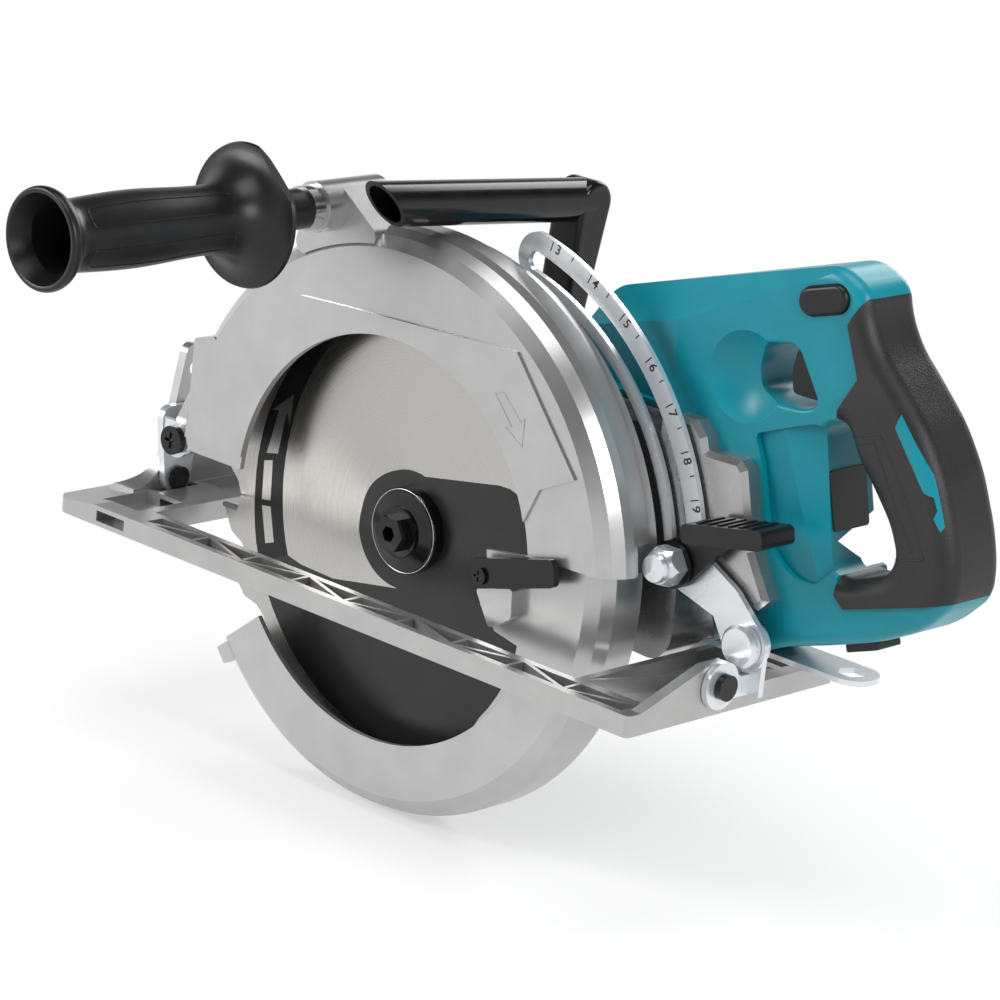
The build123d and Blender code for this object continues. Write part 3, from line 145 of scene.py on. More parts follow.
def spread(tree, factor, low, high):
    """The middle of a pattern stretched to run from one value to another."""
    span = tree.nodes.new("ShaderNodeMapRange")
    span.inputs["From Min"].default_value = PATTERN_LOW
    span.inputs["From Max"].default_value = PATTERN_HIGH
    span.inputs["To Min"].default_value = low
    span.inputs["To Max"].default_value = high
    tree.links.new(factor, span.inputs["Value"])
    return span.outputs["Result"]


def bumped(tree, shader, height, strength, depth):
    """Bend the light on the surface by a pattern of heights."""
    bump = tree.nodes.new("ShaderNodeBump")
    bump.inputs["Strength"].default_value = strength
    bump.inputs["Distance"].default_value = depth
    tree.links.new(height, bump.inputs["Height"])
    tree.links.new(bump.outputs["Normal"], shader.inputs["Normal"])


def speckled(name, dark, light, metal, rough, grain, strength, patch=60.0, shine=0.5):
    """A finish with soft patches of colour, uneven gloss and a fine grain."""
    uneven = 0.015
    grain_depth = 0.02 * MM
    material, tree, shader, place = new_material(name)
    clouds = noise(tree, place, patch)
    fine = noise(tree, place, grain, detail=2.0)
    gloss = spread(tree, clouds, rough - uneven, rough + uneven)
    tree.links.new(between(tree, clouds, dark, light), shader.inputs["Base Color"])
    tree.links.new(gloss, shader.inputs["Roughness"])
    bumped(tree, shader, fine, strength, grain_depth)
    shader.inputs["Metallic"].default_value = metal
    shader.inputs["Specular IOR Level"].default_value = shine
    return material


print("material helpers ready")

# %% [markdown]
# ## Castings and sheet metal
# The guards are cast and painted silver, the base is a rougher bare casting, and the links are zinc
# plated sheet. A metallic value below one keeps some plain shading, as silver paint has, where a
# pure metal would only mirror the room.

# %% Silver paint, bare casting, dark casting, zinc and steel
finishes = {
    "cast_grey": speckled(
        "Silver paint on casting", (0.46, 0.457, 0.455), (0.50, 0.497, 0.495),
        metal=0.85, rough=0.29, grain=1900, strength=0.3),
    "base_grey": speckled(
        "Bare casting", (0.44, 0.436, 0.433), (0.48, 0.476, 0.472),
        metal=0.85, rough=0.33, grain=1500, strength=0.5),
    "gear_grey": speckled(
        "Dark casting", (0.41, 0.408, 0.41), (0.45, 0.447, 0.448),
        metal=0.9, rough=0.27, grain=1500, strength=0.3),
    "zinc": speckled(
        "Zinc plate", (0.70, 0.735, 0.765), (0.75, 0.78, 0.805),
        metal=0.70, rough=0.26, grain=900, strength=0.05, patch=30.0),
    "steel": speckled(
        "Turned steel", (0.56, 0.56, 0.565), (0.62, 0.62, 0.62),
        metal=1.0, rough=0.22, grain=700, strength=0.05),
    "carbide": speckled(
        "Ground carbide", (0.20, 0.20, 0.205), (0.30, 0.30, 0.30),
        metal=1.0, rough=0.34, grain=2500, strength=0.3, patch=900.0),
    "black_steel": speckled(
        "Black gloss paint", (0.005, 0.005, 0.0055), (0.008, 0.008, 0.0085),
        metal=0.0, rough=0.17, grain=600, strength=0.05, patch=90.0, shine=0.35),
    "copper": speckled(
        "Windings", (0.42, 0.17, 0.07), (0.58, 0.27, 0.13),
        metal=0.9, rough=0.4, grain=900, strength=0.8, patch=500.0),
}
print("metal finishes:", sorted(finishes))

# %% [markdown]
# ## Mouldings
# The shells are a blue green plastic with a fine spark texture, the levers and caps are black, and
# the grip is a soft cover with a leather like grain. The grain is a cell pattern, because moulded
# grain is made of small round bumps.


# %% Spark textured plastic and the soft cover
def moulded(name, dark, light, rough, grain, strength, shine=0.5):
    """Plastic with a grain of small bumps."""
    patch = 45.0
    uneven = 0.03
    grain_depth = 0.15 * MM
    material, tree, shader, place = new_material(name)
    clouds = noise(tree, place, patch)
    bumps = cells(tree, place, grain)
    gloss = spread(tree, clouds, rough - uneven, rough + uneven)
    tree.links.new(between(tree, clouds, dark, light), shader.inputs["Base Color"])
    tree.links.new(gloss, shader.inputs["Roughness"])
    bumped(tree, shader, bumps, strength, grain_depth)
    shader.inputs["Specular IOR Level"].default_value = shine
    return material


mouldings = {
    "teal_plastic": moulded(
        "Blue green shell", (0.0, 0.195, 0.25), (0.0, 0.22, 0.28),
        rough=0.34, grain=2200, strength=0.12, shine=0.35),
    "black_plastic": moulded(
        "Black moulding", (0.006, 0.006, 0.0065), (0.010, 0.010, 0.0105),
        rough=0.34, grain=2000, strength=0.14, shine=0.35),
    "soft_grip": moulded(
        "Soft cover", (0.012, 0.0118, 0.012), (0.018, 0.0177, 0.018),
        rough=0.46, grain=1100, strength=0.45, shine=0.4),
    "board": moulded(
        "Circuit board", (0.01, 0.07, 0.04), (0.02, 0.11, 0.06),
        rough=0.45, grain=700, strength=0.2),
}
finishes.update(mouldings)
print("moulded finishes:", sorted(mouldings))

# %% [markdown]
# ## The blade
# A saw blade is ground while it spins, so its fine lines run in circles and its highlights fan out
# from the bore. The shader has this built in as anisotropy with a radial tangent. The circles
# themselves come from a noise that is read by the distance from the arbor alone.


# %% Ground steel with circular lines
def circular_steel(name):
    """Steel with fine circles about the arbor and highlights that fan out from it."""
    line_scale = 2600
    material, tree, shader, place = new_material(name)
    centred = tree.nodes.new("ShaderNodeVectorMath")
    centred.operation = "SUBTRACT"
    centred.inputs[1].default_value = (arbor.x, 0, arbor.z)
    tree.links.new(place, centred.inputs[0])
    flat = tree.nodes.new("ShaderNodeVectorMath")
    flat.operation = "MULTIPLY"
    flat.inputs[1].default_value = (1, 0, 1)
    tree.links.new(centred.outputs["Vector"], flat.inputs[0])
    radius = tree.nodes.new("ShaderNodeVectorMath")
    radius.operation = "LENGTH"
    tree.links.new(flat.outputs["Vector"], radius.inputs[0])
    rings = tree.nodes.new("ShaderNodeTexNoise")
    rings.noise_dimensions = "1D"
    rings.inputs["Scale"].default_value = line_scale
    tree.links.new(radius.outputs["Value"], rings.inputs["W"])
    lines = rings.outputs["Fac"]
    colour = between(tree, lines, (0.45, 0.435, 0.415), (0.52, 0.505, 0.482))
    tree.links.new(colour, shader.inputs["Base Color"])
    tree.links.new(spread(tree, lines, 0.24, 0.28), shader.inputs["Roughness"])
    tangent = tree.nodes.new("ShaderNodeTangent")
    tangent.direction_type = "RADIAL"
    tangent.axis = "Y"
    tree.links.new(tangent.outputs["Tangent"], shader.inputs["Tangent"])
    shader.inputs["Metallic"].default_value = 1.0
    shader.inputs["Anisotropic"].default_value = 0.85
    return material


finishes["blade_steel"] = circular_steel("Ground blade steel")
ink = speckled(
    "Baked black print", (0.006, 0.006, 0.006), (0.009, 0.009, 0.009),
    metal=0.0, rough=0.30, grain=1800, strength=0.05, shine=0.3)
field_ink = speckled(
    "Baked grey print", (0.013, 0.0125, 0.0125), (0.017, 0.0165, 0.0165),
    metal=0.0, rough=0.34, grain=1800, strength=0.05, shine=0.4)
mark_ink = speckled(
    "Mark ink", (0.012, 0.012, 0.0125), (0.018, 0.018, 0.0185),
    metal=0.0, rough=0.5, grain=1500, strength=0.05, shine=0.3)
print("blade finish and inks ready")

# %% [markdown]
# ## Put the finishes on the solids
# The record says which finish each solid has, so one loop does them all. Only the finish of a solid
# is set: its shape and its place are not touched.

# %% Assign a finish to every solid
slot_of = {part["node"]: part["material_slot"] for part in record["subparts"]}
for name, solid in nodes.items():
    solid.data.materials.clear()
    solid.data.materials.append(finishes[slot_of[name]])
print("finished solids:", len(nodes))

# %% [markdown]
# ## Helpers for added pieces
# Printed marks are thin flat shapes. A filled curve makes them with crisp edges and takes holes as
# inner loops. The curve is turned into a mesh that faces the blade side, and then rides on its
# body. A place on a solid is found by shooting a ray at it along y.

# %% Flat shapes, beads, numbers and places on a solid
FACE_BLADE_SIDE = Matrix.Rotation(math.pi / 2, 4, "X")
BLADE_SIDE = -1
MOTOR_SIDE = 1
RAY_START = 0.5


def adopt(piece, body, material=None):
    """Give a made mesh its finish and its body."""
    if material is not None:
        piece.data.materials.clear()
        piece.data.materials.append(material)
    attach(piece, body)
    return piece


def linked(name, data):
    """A new object in the scene that holds some data."""
    holder = bpy.data.objects.new(name, data)
    bpy.context.scene.collection.objects.link(holder)
    bpy.context.view_layer.update()
    return holder


def result_mesh(holder):
    """The plain mesh that a curve, a text or a holder with a tree comes out as."""
    graph = bpy.context.evaluated_depsgraph_get()
    return bpy.data.meshes.new_from_object(holder.evaluated_get(graph))


def mesh_of(holder, name, place):
    """Turn a curve or text object into a plain mesh object with its place in its points."""
    mesh = result_mesh(holder)
    bpy.data.objects.remove(holder)
    mesh.transform(place)
    piece = bpy.data.objects.new(name, mesh)
    bpy.context.scene.collection.objects.link(piece)
    return piece


def flat_shape(name, loops, y, thick=0.05 * MM):
    """A thin plate from loops of x and z points, with its middle on a plane at y."""
    curve = bpy.data.curves.new(name + "_curve", "CURVE")
    curve.dimensions = "2D"
    curve.fill_mode = "BOTH"
    curve.extrude = thick / 2
    for loop in loops:
        spline = curve.splines.new("POLY")
        spline.points.add(len(loop) - 1)
        for point, (x, z) in zip(spline.points, loop):
            point.co = (x, z, 0, 1)
        spline.use_cyclic_u = True
    place = Matrix.Translation((0, y, 0)) @ FACE_BLADE_SIDE
    return mesh_of(linked(name + "_holder", curve), name, place)


def around(centre, radius, angle):
    """An x and z point about a centre, by an angle in degrees."""
    turn = math.radians(angle)
    return (centre[0] + radius * math.cos(turn), centre[1] + radius * math.sin(turn))


def arc(centre, radius, start, end, steps):
    """Points along an arc."""
    return [around(centre, radius, start + (end - start) * i / steps) for i in range(steps + 1)]


def bead(name, places, radius, closed=True):
    """A fine round bead along places in space, half sunk in what it lies on."""
    curve = bpy.data.curves.new(name + "_curve", "CURVE")
    curve.dimensions = "3D"
    curve.bevel_depth = radius
    curve.bevel_resolution = 1
    spline = curve.splines.new("POLY")
    spline.points.add(len(places) - 1)
    for point, place in zip(spline.points, places):
        point.co = (*place, 1)
    spline.use_cyclic_u = closed
    return mesh_of(linked(name + "_holder", curve), name, Matrix.Identity(4))


def inset_loop(loop, distance):
    """A clockwise loop of straight sides, with every side moved in by a distance."""
    count = len(loop)
    sides = []
    for i in range(count):
        start = Vector(loop[i])
        along = (Vector(loop[(i + 1) % count]) - start).normalized()
        sides.append((start + distance * Vector((along.y, -along.x)), along))
    corners = []
    for i in range(count):
        before, before_along = sides[i - 1]
        here, along = sides[i]
        step = (here - before).cross(along) / before_along.cross(along)
        corners.append(tuple(before + step * before_along))
    return corners


def numeral(name, text, height, place):
    """A printed number as a mesh, from the height of its figures."""
    height_share = 0.7
    letters = bpy.data.curves.new(name + "_text", "FONT")
    letters.body = text
    letters.size = height / height_share
    letters.align_x = "CENTER"
    letters.align_y = "CENTER"
    letters.extrude = 0.03 * MM
    letters.offset = 0.1 * MM
    letters.resolution_u = 4
    return mesh_of(linked(name + "_holder", letters), name, place)


def on_face(node, x, z, side):
    """Where a ray along y from one side first meets a solid, or None beside it."""
    start = Vector((x, side * RAY_START, z))
    hit, where, normal, face = nodes[node].ray_cast(start, Vector((0, -side, 0)))
    return where if hit else None


print("piece helpers ready")

# %% [markdown]
# ## The print on the blade
# The real blade carries a dark field below the arbor, a dark panel round the clamp and a dark ring
# with a plain arrow that shows which way it turns. They are baked ink of no thickness to speak of,
# made here as thin plates on the blade's own face. Their corners are stations: an angle about the
# arbor and a share of the blade's radius. A fine bright steel bead along the edge of the black clamp flange is a
# painted highlight: its pale steel stands in for the light that the flange's rim catches.

# %% Dark field, panel and ring with an arrow
print_lift = 0.03 * MM
under_flange = 2 * MM
step_angle = 4
centre = (arbor.x, arbor.z)
blade_face = blade_low.y - print_lift
flange_low, flange_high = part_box("outer_flange")
flange_radius = (flange_high.x - flange_low.x) / 2
bore_edge = arc(centre, flange_radius - under_flange, 0, 360, 48)[:-1]


def print_points(stations):
    """The x and z points of some stations."""
    return [around(centre, share * blade_radius, angle) for angle, share in stations]


def print_edge(stations):
    """Points through some stations, with short steps between them."""
    points = []
    for (start, low), (end, high) in zip(stations, stations[1:]):
        steps = max(1, round(abs(end - start) / step_angle))
        for i in range(steps):
            share = i / steps
            reach = (low + (high - low) * share) * blade_radius
            points.append(around(centre, reach, start + (end - start) * share))
    return points + print_points(stations[-1:])


field_rim = [
    (204, 0.84), (285, 0.84), (296, 0.785), (305, 0.727), (315, 0.693), (325, 0.662),
    (333, 0.627), (338, 0.604), (350, 0.573), (360, 0.565), (376, 0.577), (381, 0.578),
]
field_corner = [(383.5, 0.574), (386.5, 0.562), (389, 0.548), (391.5, 0.525), (394.4, 0.484)]
panel_edge = [
    (440, 0.212), (480, 0.222), (491, 0.229), (502, 0.238), (512, 0.248), (525, 0.256),
    (538, 0.261), (556, 0.277), (576, 0.275), (595, 0.265), (612, 0.25), (619.5, 0.244),
]
field_top = [(592, 0.34), (578.3, 0.479), (568, 0.62), (564, 0.678)]
field = print_edge(field_rim) + print_points(field_corner)
field += print_edge(panel_edge) + print_points(field_top)
blade_field = flat_shape("blade_dark_field", [field, bore_edge], blade_face)
adopt(blade_field, "blade", field_ink)

ring_outer = [
    (106, 0.8), (127, 0.805), (143, 0.813), (164, 0.821), (184, 0.825), (199, 0.838), (204, 0.84),
]
ring_inner = [
    (204, 0.678), (186, 0.676), (173, 0.682), (163, 0.692), (152, 0.711), (140.6, 0.731),
    (131, 0.755), (123.6, 0.778),
]
arrow = [
    (152.8, 0.744), (161.6, 0.807), (160.5, 0.777), (174, 0.783), (172.5, 0.725), (159.4, 0.739),
    (162, 0.704),
]
dashes = [
    [(176.3, 0.79), (187.4, 0.79), (187.2, 0.742), (175.2, 0.745)],
    [(189, 0.79), (199.5, 0.79), (199.5, 0.742), (189, 0.742)],
]
ring = print_edge(ring_outer) + print_edge(ring_inner)
bare = [print_points(loop) for loop in [arrow] + dashes]
blade_ring = flat_shape("blade_ring", [ring] + bare, blade_face)
adopt(blade_ring, "blade", ink)

# %% Painted highlight: a bright bead on the edge of the clamp flange
edge_radius = flange_radius - 0.6 * MM
edge_bead = 0.3 * MM
edge_y = on_face("outer_flange", arbor.x + edge_radius, arbor.z, BLADE_SIDE).y
# The bead is a painted highlight, a bright steel ring where the black flange's rim only catches light.
rim_highlight_points = [Vector((x, edge_y, z)) for x, z in arc(centre, edge_radius, 0, 360, 72)[:-1]]
flange_highlight_bead = bead("flange_highlight_bead", rim_highlight_points, edge_bead)
adopt(flange_highlight_bead, "blade", finishes["steel"])
print("blade print:", [piece.name for piece in (blade_field, blade_ring, flange_highlight_bead)])

# %% [markdown]
# ## The depth scale
# The guide carries a mark and a number for each centimetre of cut, and a shorter mark for each
# half. The clamp bolt travels along the slot as the body is lifted, so the marks are found by
# moving the linkage, not by measuring the picture: lift the body until the blade reaches a given
# depth, and see where the bolt then is on the guide. The mark that is read stands ahead of the
# bolt, and a little further ahead when the body is lifted, so the angles are stretched and moved
# along. The marks are one Geometry Nodes tree: points that carry a turn and a length, with a small
# bar on each.


# %% Where the clamp bolt is for each depth of cut
def swung(point, hinge, angle):
    """A point turned about a hinge along y, seen from the blade side."""
    dx = point[0] - hinge.x
    dz = point[1] - hinge.z
    c = math.cos(angle)
    s = math.sin(angle)
    return (hinge.x + c * dx - s * dz, hinge.z + s * dx + c * dz)


def slot_place(lift):
    """The bolt's place on the guide when the body is lifted by an angle."""
    lifted = swung((clamp_bolt.x, clamp_bolt.z), body_hinge, lift)
    return swung(lifted, guide_hinge, guide_ratio * lift)


def lift_for(depth):
    """The lift of the body at which the blade stands below the sole by a depth."""
    reach = arbor - body_hinge
    length = math.hypot(reach.x, reach.z)
    rise = math.asin((blade_radius - depth - body_hinge.z) / length)
    return rise - math.atan2(reach.z, reach.x)


def circle_through(p, q, r):
    """Centre and radius of the circle through three points."""
    d = 2 * (p[0] * (q[1] - r[1]) + q[0] * (r[1] - p[1]) + r[0] * (p[1] - q[1]))
    pp, qq, rr = [x * x + z * z for x, z in (p, q, r)]
    u = (pp * (q[1] - r[1]) + qq * (r[1] - p[1]) + rr * (p[1] - q[1])) / d
    v = (pp * (r[0] - q[0]) + qq * (p[0] - r[0]) + rr * (q[0] - p[0])) / d
    return (u, v), math.hypot(p[0] - u, p[1] - v)


full_lift = math.radians(joints["depth_pivot"]["range_deg"][1])
slot_centre, slot_radius = circle_through(
    slot_place(0), slot_place(full_lift / 2), slot_place(full_lift))
print("slot radius in mm:", round(slot_radius / MM, 1))


# %% Tools for trees that work on points
def point_tree(name, labels):
    """An empty tree that takes points, some numbers and a finish, with its input sockets."""
    tree = bpy.data.node_groups.new(name, "GeometryNodeTree")
    socket = tree.interface.new_socket
    socket("Geometry", in_out="OUTPUT", socket_type="NodeSocketGeometry")
    socket("Geometry", in_out="INPUT", socket_type="NodeSocketGeometry")
    sizes = {}
    for label in labels:
        sizes[label] = socket(label, in_out="INPUT", socket_type="NodeSocketFloat")
    sizes["Material"] = socket("Material", in_out="INPUT", socket_type="NodeSocketMaterial")
    return tree, sizes


def carried(tree, label):
    """A number that every point carries."""
    number = tree.nodes.new("GeometryNodeInputNamedAttribute")
    number.inputs["Name"].default_value = label
    return number.outputs["Attribute"]


def set_on_points(tree, source, piece, rotation, scale=None):
    """End a tree: a copy of a piece on every point, turned, stretched and given its finish."""
    make = tree.nodes.new
    join = tree.links.new
    rows = make("GeometryNodeInstanceOnPoints")
    join(source.outputs["Geometry"], rows.inputs["Points"])
    join(piece, rows.inputs["Instance"])
    join(rotation.outputs["Vector"], rows.inputs["Rotation"])
    if scale is not None:
        join(scale.outputs["Vector"], rows.inputs["Scale"])
    real = make("GeometryNodeRealizeInstances")
    join(rows.outputs["Instances"], real.inputs["Geometry"])
    paint = make("GeometryNodeSetMaterial")
    join(real.outputs["Geometry"], paint.inputs["Geometry"])
    join(source.outputs["Material"], paint.inputs["Material"])
    join(paint.outputs["Geometry"], make("NodeGroupOutput").inputs["Geometry"])


def point_holder(name, places, attributes):
    """A mesh of loose points that carry named numbers."""
    mesh = bpy.data.meshes.new(name)
    mesh.from_pydata([tuple(place) for place in places], [], [])
    for label, values in attributes.items():
        mesh.attributes.new(label, "FLOAT", "POINT").data.foreach_set("value", values)
    return linked(name, mesh)


def grown(holder, tree, values, body):
    """Run a tree on a holder, keep the result as a plain mesh and let it ride."""
    modifier = holder.modifiers.new("grow", "NODES")
    modifier.node_group = tree
    for socket, value in values:
        modifier[socket.identifier] = value
    bpy.context.view_layer.update()
    mesh = result_mesh(holder)
    holder.modifiers.clear()
    holder.data = mesh
    print(holder.name, "faces:", len(mesh.polygons))
    return adopt(holder, body)


print("tree tools ready")


# %% A tree that sets a bar on every point
def bar_tree(name):
    """A bar on each point, turned about y, then about z, and stretched along its length."""
    tree, sizes = point_tree(name, ("Width", "Thickness", "Yaw"))
    make = tree.nodes.new
    join = tree.links.new
    source = make("NodeGroupInput")
    size = make("ShaderNodeCombineXYZ")
    size.inputs["Z"].default_value = 1.0
    join(source.outputs["Width"], size.inputs["X"])
    join(source.outputs["Thickness"], size.inputs["Y"])
    bar = make("GeometryNodeMeshCube")
    join(size.outputs["Vector"], bar.inputs["Size"])
    rotation = make("ShaderNodeCombineXYZ")
    join(carried(tree, "turn"), rotation.inputs["Y"])
    join(source.outputs["Yaw"], rotation.inputs["Z"])
    stretch = make("ShaderNodeCombineXYZ")
    stretch.inputs["X"].default_value = 1.0
    stretch.inputs["Y"].default_value = 1.0
    join(carried(tree, "reach"), stretch.inputs["Z"])
    set_on_points(tree, source, bar.outputs["Mesh"], rotation, stretch)
    return tree, sizes


bars, bar_sizes = bar_tree("bars on points")
mark_thick = 0.06 * MM


def bar_values(width, yaw):
    """The inputs of the tree for printed marks of a width."""
    return [
        (bar_sizes["Width"], width),
        (bar_sizes["Thickness"], mark_thick),
        (bar_sizes["Yaw"], yaw),
        (bar_sizes["Material"], mark_ink),
    ]


print("nodes in the tree of bars:", len(bars.nodes))

# %% Marks and numbers along the guide
first_depth = 3
last_depth = 9
leg_outer = 13.2 * MM
long_mark = 4.8 * MM
short_mark = 2.6 * MM
mark_width = 0.6 * MM
mark_lift = 0.02 * MM
scale_stretch = 1.088
scale_lead = 3.5
number_lead = 1.55
number_height = 4.6 * MM
guide_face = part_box("depth_guide")[0].y - mark_lift
mark_places = []
mark_turns = []
mark_lengths = []
for half_centimetres in range(2 * first_depth, 2 * last_depth + 1):
    x, z = slot_place(lift_for(half_centimetres * 5 * MM))
    bolt_angle = math.degrees(math.atan2(z - slot_centre[1], x - slot_centre[0]))
    beside = scale_stretch * bolt_angle + scale_lead
    angle = beside + number_lead
    length = short_mark if half_centimetres % 2 else long_mark
    x, z = around(slot_centre, slot_radius + leg_outer - length / 2, angle)
    mark_places.append((x, guide_face, z))
    mark_turns.append(math.radians(90 - angle))
    mark_lengths.append(length)
    if half_centimetres % 2:
        continue
    centimetres = half_centimetres // 2
    x, z = around(slot_centre, slot_radius + leg_outer - number_height / 2, beside)
    upright = Matrix.Rotation(math.radians(90 - beside), 4, "Y")
    place = Matrix.Translation((x, guide_face, z)) @ upright @ FACE_BLADE_SIDE
    figure = numeral("depth_number_%d" % centimetres, str(centimetres), number_height, place)
    adopt(figure, "guide", mark_ink)
marks = point_holder("depth_marks", mark_places, {"turn": mark_turns, "reach": mark_lengths})
grown(marks, bars, bar_values(mark_width, 0.0), "guide")

# %% [markdown]
# ## The arrow on the guard
# The casting has a raised outline of an arrow that shows the way the blade turns. An outline is a
# shape with a slightly smaller shape cut out of it, so one flat plate with two loops makes it.

# %% Outline arrow on the guard's face
arrow_line = 0.5 * MM
arrow_thick = 0.3 * MM
arrow_middle = (47, 0.84)
guard_stations = [
    (53.1, 0.83), (51.4, 0.868), (43.2, 0.868), (43.2, 0.893), (37.8, 0.824), (44.9, 0.79),
    (43.9, 0.817),
]
guard_loop = print_points(guard_stations)
guard_y = on_face("upper_guard", *print_points([arrow_middle])[0], BLADE_SIDE).y
arrow_loops = [guard_loop, inset_loop(guard_loop, arrow_line)]
guard_arrow = flat_shape("guard_arrow", arrow_loops, guard_y, arrow_thick)
adopt(guard_arrow, "saw_body", finishes["gear_grey"])
print("guard arrow at y in mm:", round(guard_y / MM, 2))

# %% [markdown]
# ## Screws
# The far half of the handle and the motor cap are held by screws with a cross recess. All of them
# are one tree: a short cylinder with two bars cut out of it by a boolean, set on every point. Each
# is turned further than the one before, because nobody stops screws at the same angle.


# %% A tree for screw heads that face along y
def screw_tree(name):
    """A screw head with a cross recess on each point, tilted about x and turned about y."""
    head_sides = 24
    tree, sizes = point_tree(name, ("Radius", "Height", "Recess"))
    make = tree.nodes.new
    join = tree.links.new
    source = make("NodeGroupInput")
    head = make("GeometryNodeMeshCylinder")
    head.inputs["Vertices"].default_value = head_sides
    join(source.outputs["Radius"], head.inputs["Radius"])
    join(source.outputs["Height"], head.inputs["Depth"])
    cut = make("GeometryNodeMeshBoolean")
    cut.operation = "DIFFERENCE"
    join(head.outputs["Mesh"], cut.inputs["Mesh 1"])
    for long_side, short_side in (("X", "Y"), ("Y", "X")):
        size = make("ShaderNodeCombineXYZ")
        join(source.outputs["Radius"], size.inputs[long_side])
        join(source.outputs["Recess"], size.inputs[short_side])
        join(source.outputs["Height"], size.inputs["Z"])
        bar = make("GeometryNodeMeshCube")
        join(size.outputs["Vector"], bar.inputs["Size"])
        lift = make("ShaderNodeCombineXYZ")
        join(source.outputs["Recess"], lift.inputs["Z"])
        shifted = make("GeometryNodeTransform")
        join(bar.outputs["Mesh"], shifted.inputs["Geometry"])
        join(lift.outputs["Vector"], shifted.inputs["Translation"])
        join(shifted.outputs["Geometry"], cut.inputs["Mesh 2"])
    spin = make("ShaderNodeCombineXYZ")
    join(carried(tree, "tilt"), spin.inputs["X"])
    join(carried(tree, "turn"), spin.inputs["Y"])
    set_on_points(tree, source, cut.outputs["Mesh"], spin)
    return tree, sizes


screws, screw_sizes = screw_tree("cross head screws")
print("nodes in the tree of screws:", len(screws.nodes))

# %% Screws on the motor cap and on the far half of the handle
screw_radius = 3.2 * MM
head_share = 0.5
recess_share = 0.28
first_turn = 0.4
turn_step = 0.9
cap_share = 0.86


def screw_row(name, node, places):
    """Screws on the motor side of a solid, at those places where there is some of it."""
    spots = [on_face(node, x, z, MOTOR_SIDE) for x, z in places]
    found = [spot for spot in spots if spot is not None]
    turns = [first_turn + turn_step * i for i in range(len(found))]
    tilts = [-math.pi / 2] * len(found)
    holder = point_holder(name, found, {"tilt": tilts, "turn": turns})
    values = [
        (screw_sizes["Radius"], screw_radius),
        (screw_sizes["Height"], head_share * screw_radius),
        (screw_sizes["Recess"], recess_share * screw_radius),
        (screw_sizes["Material"], finishes["black_steel"]),
    ]
    return grown(holder, screws, values, "saw_body")


cap_low, cap_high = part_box("motor_end_cover")
cap_middle = (cap_low + cap_high) / 2
cap_radius = (cap_high.x - cap_low.x) / 2
cap_centre = (cap_middle.x, cap_middle.z)
cap_places = [around(cap_centre, cap_share * cap_radius, angle) for angle in (0, 180)]
screw_row("motor_cap_screws", "motor_end_cover", cap_places)
handle_low, handle_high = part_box("handle_right")
handle_span = handle_high - handle_low
handle_shares = [
    (0.10, 0.72), (0.44, 0.86), (0.60, 0.94), (0.50, 0.50), (0.86, 0.12), (0.60, 0.12),
]
handle_places = [
    (handle_low.x + u * handle_span.x, handle_low.z + v * handle_span.z) for u, v in handle_shares
]
screw_row("handle_screws", "handle_right", handle_places)

# %% [markdown]
# ## Lines on the grips
# The side handle has four raised panels round it, and the soft cover of the rear grip has a raised
# panel behind the hand. A fine bead along the edge of each panel shows it. The bead has to lie on a
# curved surface, so each of its points is found by shooting a ray at the solid, and the bead is a
# curve with a round section through those points.

# %% Raised panels on the side handle
bead_step = 3 * MM
grip_radius = 17 * MM
grip_clear = 60 * MM
panel_from = 18 * MM
panel_to = 103 * MM
panel_corner = 3 * MM
panel_bead = 0.35 * MM
panels = {
    "upper": (24, 59), "lower": (-46, -11), "front_upper": (121, 156), "front_lower": (191, 226),
}


def rounded_loop(low, high, left, right, corner, steps=5):
    """Points of two numbers round a rectangle with rounded corners, in short steps."""
    loop = []
    for u, v, start in ((high - corner, right - corner, 0), (low + corner, right - corner, 90),
                        (low + corner, left + corner, 180), (high - corner, left + corner, 270)):
        loop += arc((u, v), corner, start, start + 90, steps)
    dense = []
    for (u, v), (p, q) in zip(loop, loop[1:] + loop[:1]):
        pieces = max(1, round(math.hypot(p - u, q - v) / bead_step))
        dense += [(u + (p - u) * i / pieces, v + (q - v) * i / pieces) for i in range(pieces)]
    return dense


stud_low, stud_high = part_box("side_handle_stud")
grip_axis = (stud_low + stud_high) / 2
grip_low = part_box("side_handle")[0].y


def on_side_handle(along, around_grip):
    """A place on the side handle by its y and by the way round it from its rear side."""
    angle = around_grip / grip_radius
    out = Vector((math.cos(angle), 0, math.sin(angle)))
    start = Vector((grip_axis.x, along, grip_axis.z)) + grip_clear * out
    return nodes["side_handle"].ray_cast(start, -out)[1]


for label, (start, end) in panels.items():
    left = math.radians(start) * grip_radius
    right = math.radians(end) * grip_radius
    edge = rounded_loop(grip_low + panel_from, grip_low + panel_to, left, right, panel_corner)
    spots = [on_side_handle(u, v) for u, v in edge]
    line = bead("side_handle_panel_" + label, spots, panel_bead)
    adopt(line, "saw_body", finishes["black_plastic"])
print("panels on the side handle:", len(panels))

# %% Raised panel on the rear grip
line_bead = 0.3 * MM
line_steps = 12
cover_low, cover_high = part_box("grip_cover")
cover_middle = (cover_low + cover_high) / 2
palm_edges = {
    "outer": [
        (0.165, 0.559), (0.37, 0.599), (0.511, 0.501), (0.673, 0.372), (0.798, 0.248),
        (0.407, 0.186),
    ],
    "inner": [(0.225, 0.543), (0.331, 0.569), (0.447, 0.47), (0.613, 0.33), (0.709, 0.257)],
}


def on_grip(share, side):
    """A place on one side of the rear grip by its shares of the cover's box, or None beside it."""
    x = cover_low.x + share[0] * (cover_high.x - cover_low.x)
    z = cover_low.z + share[1] * (cover_high.z - cover_low.z)
    spot = on_face("grip_cover", x, z, side)
    return spot if spot is not None and (spot.y - cover_middle.y) * side > 0 else None


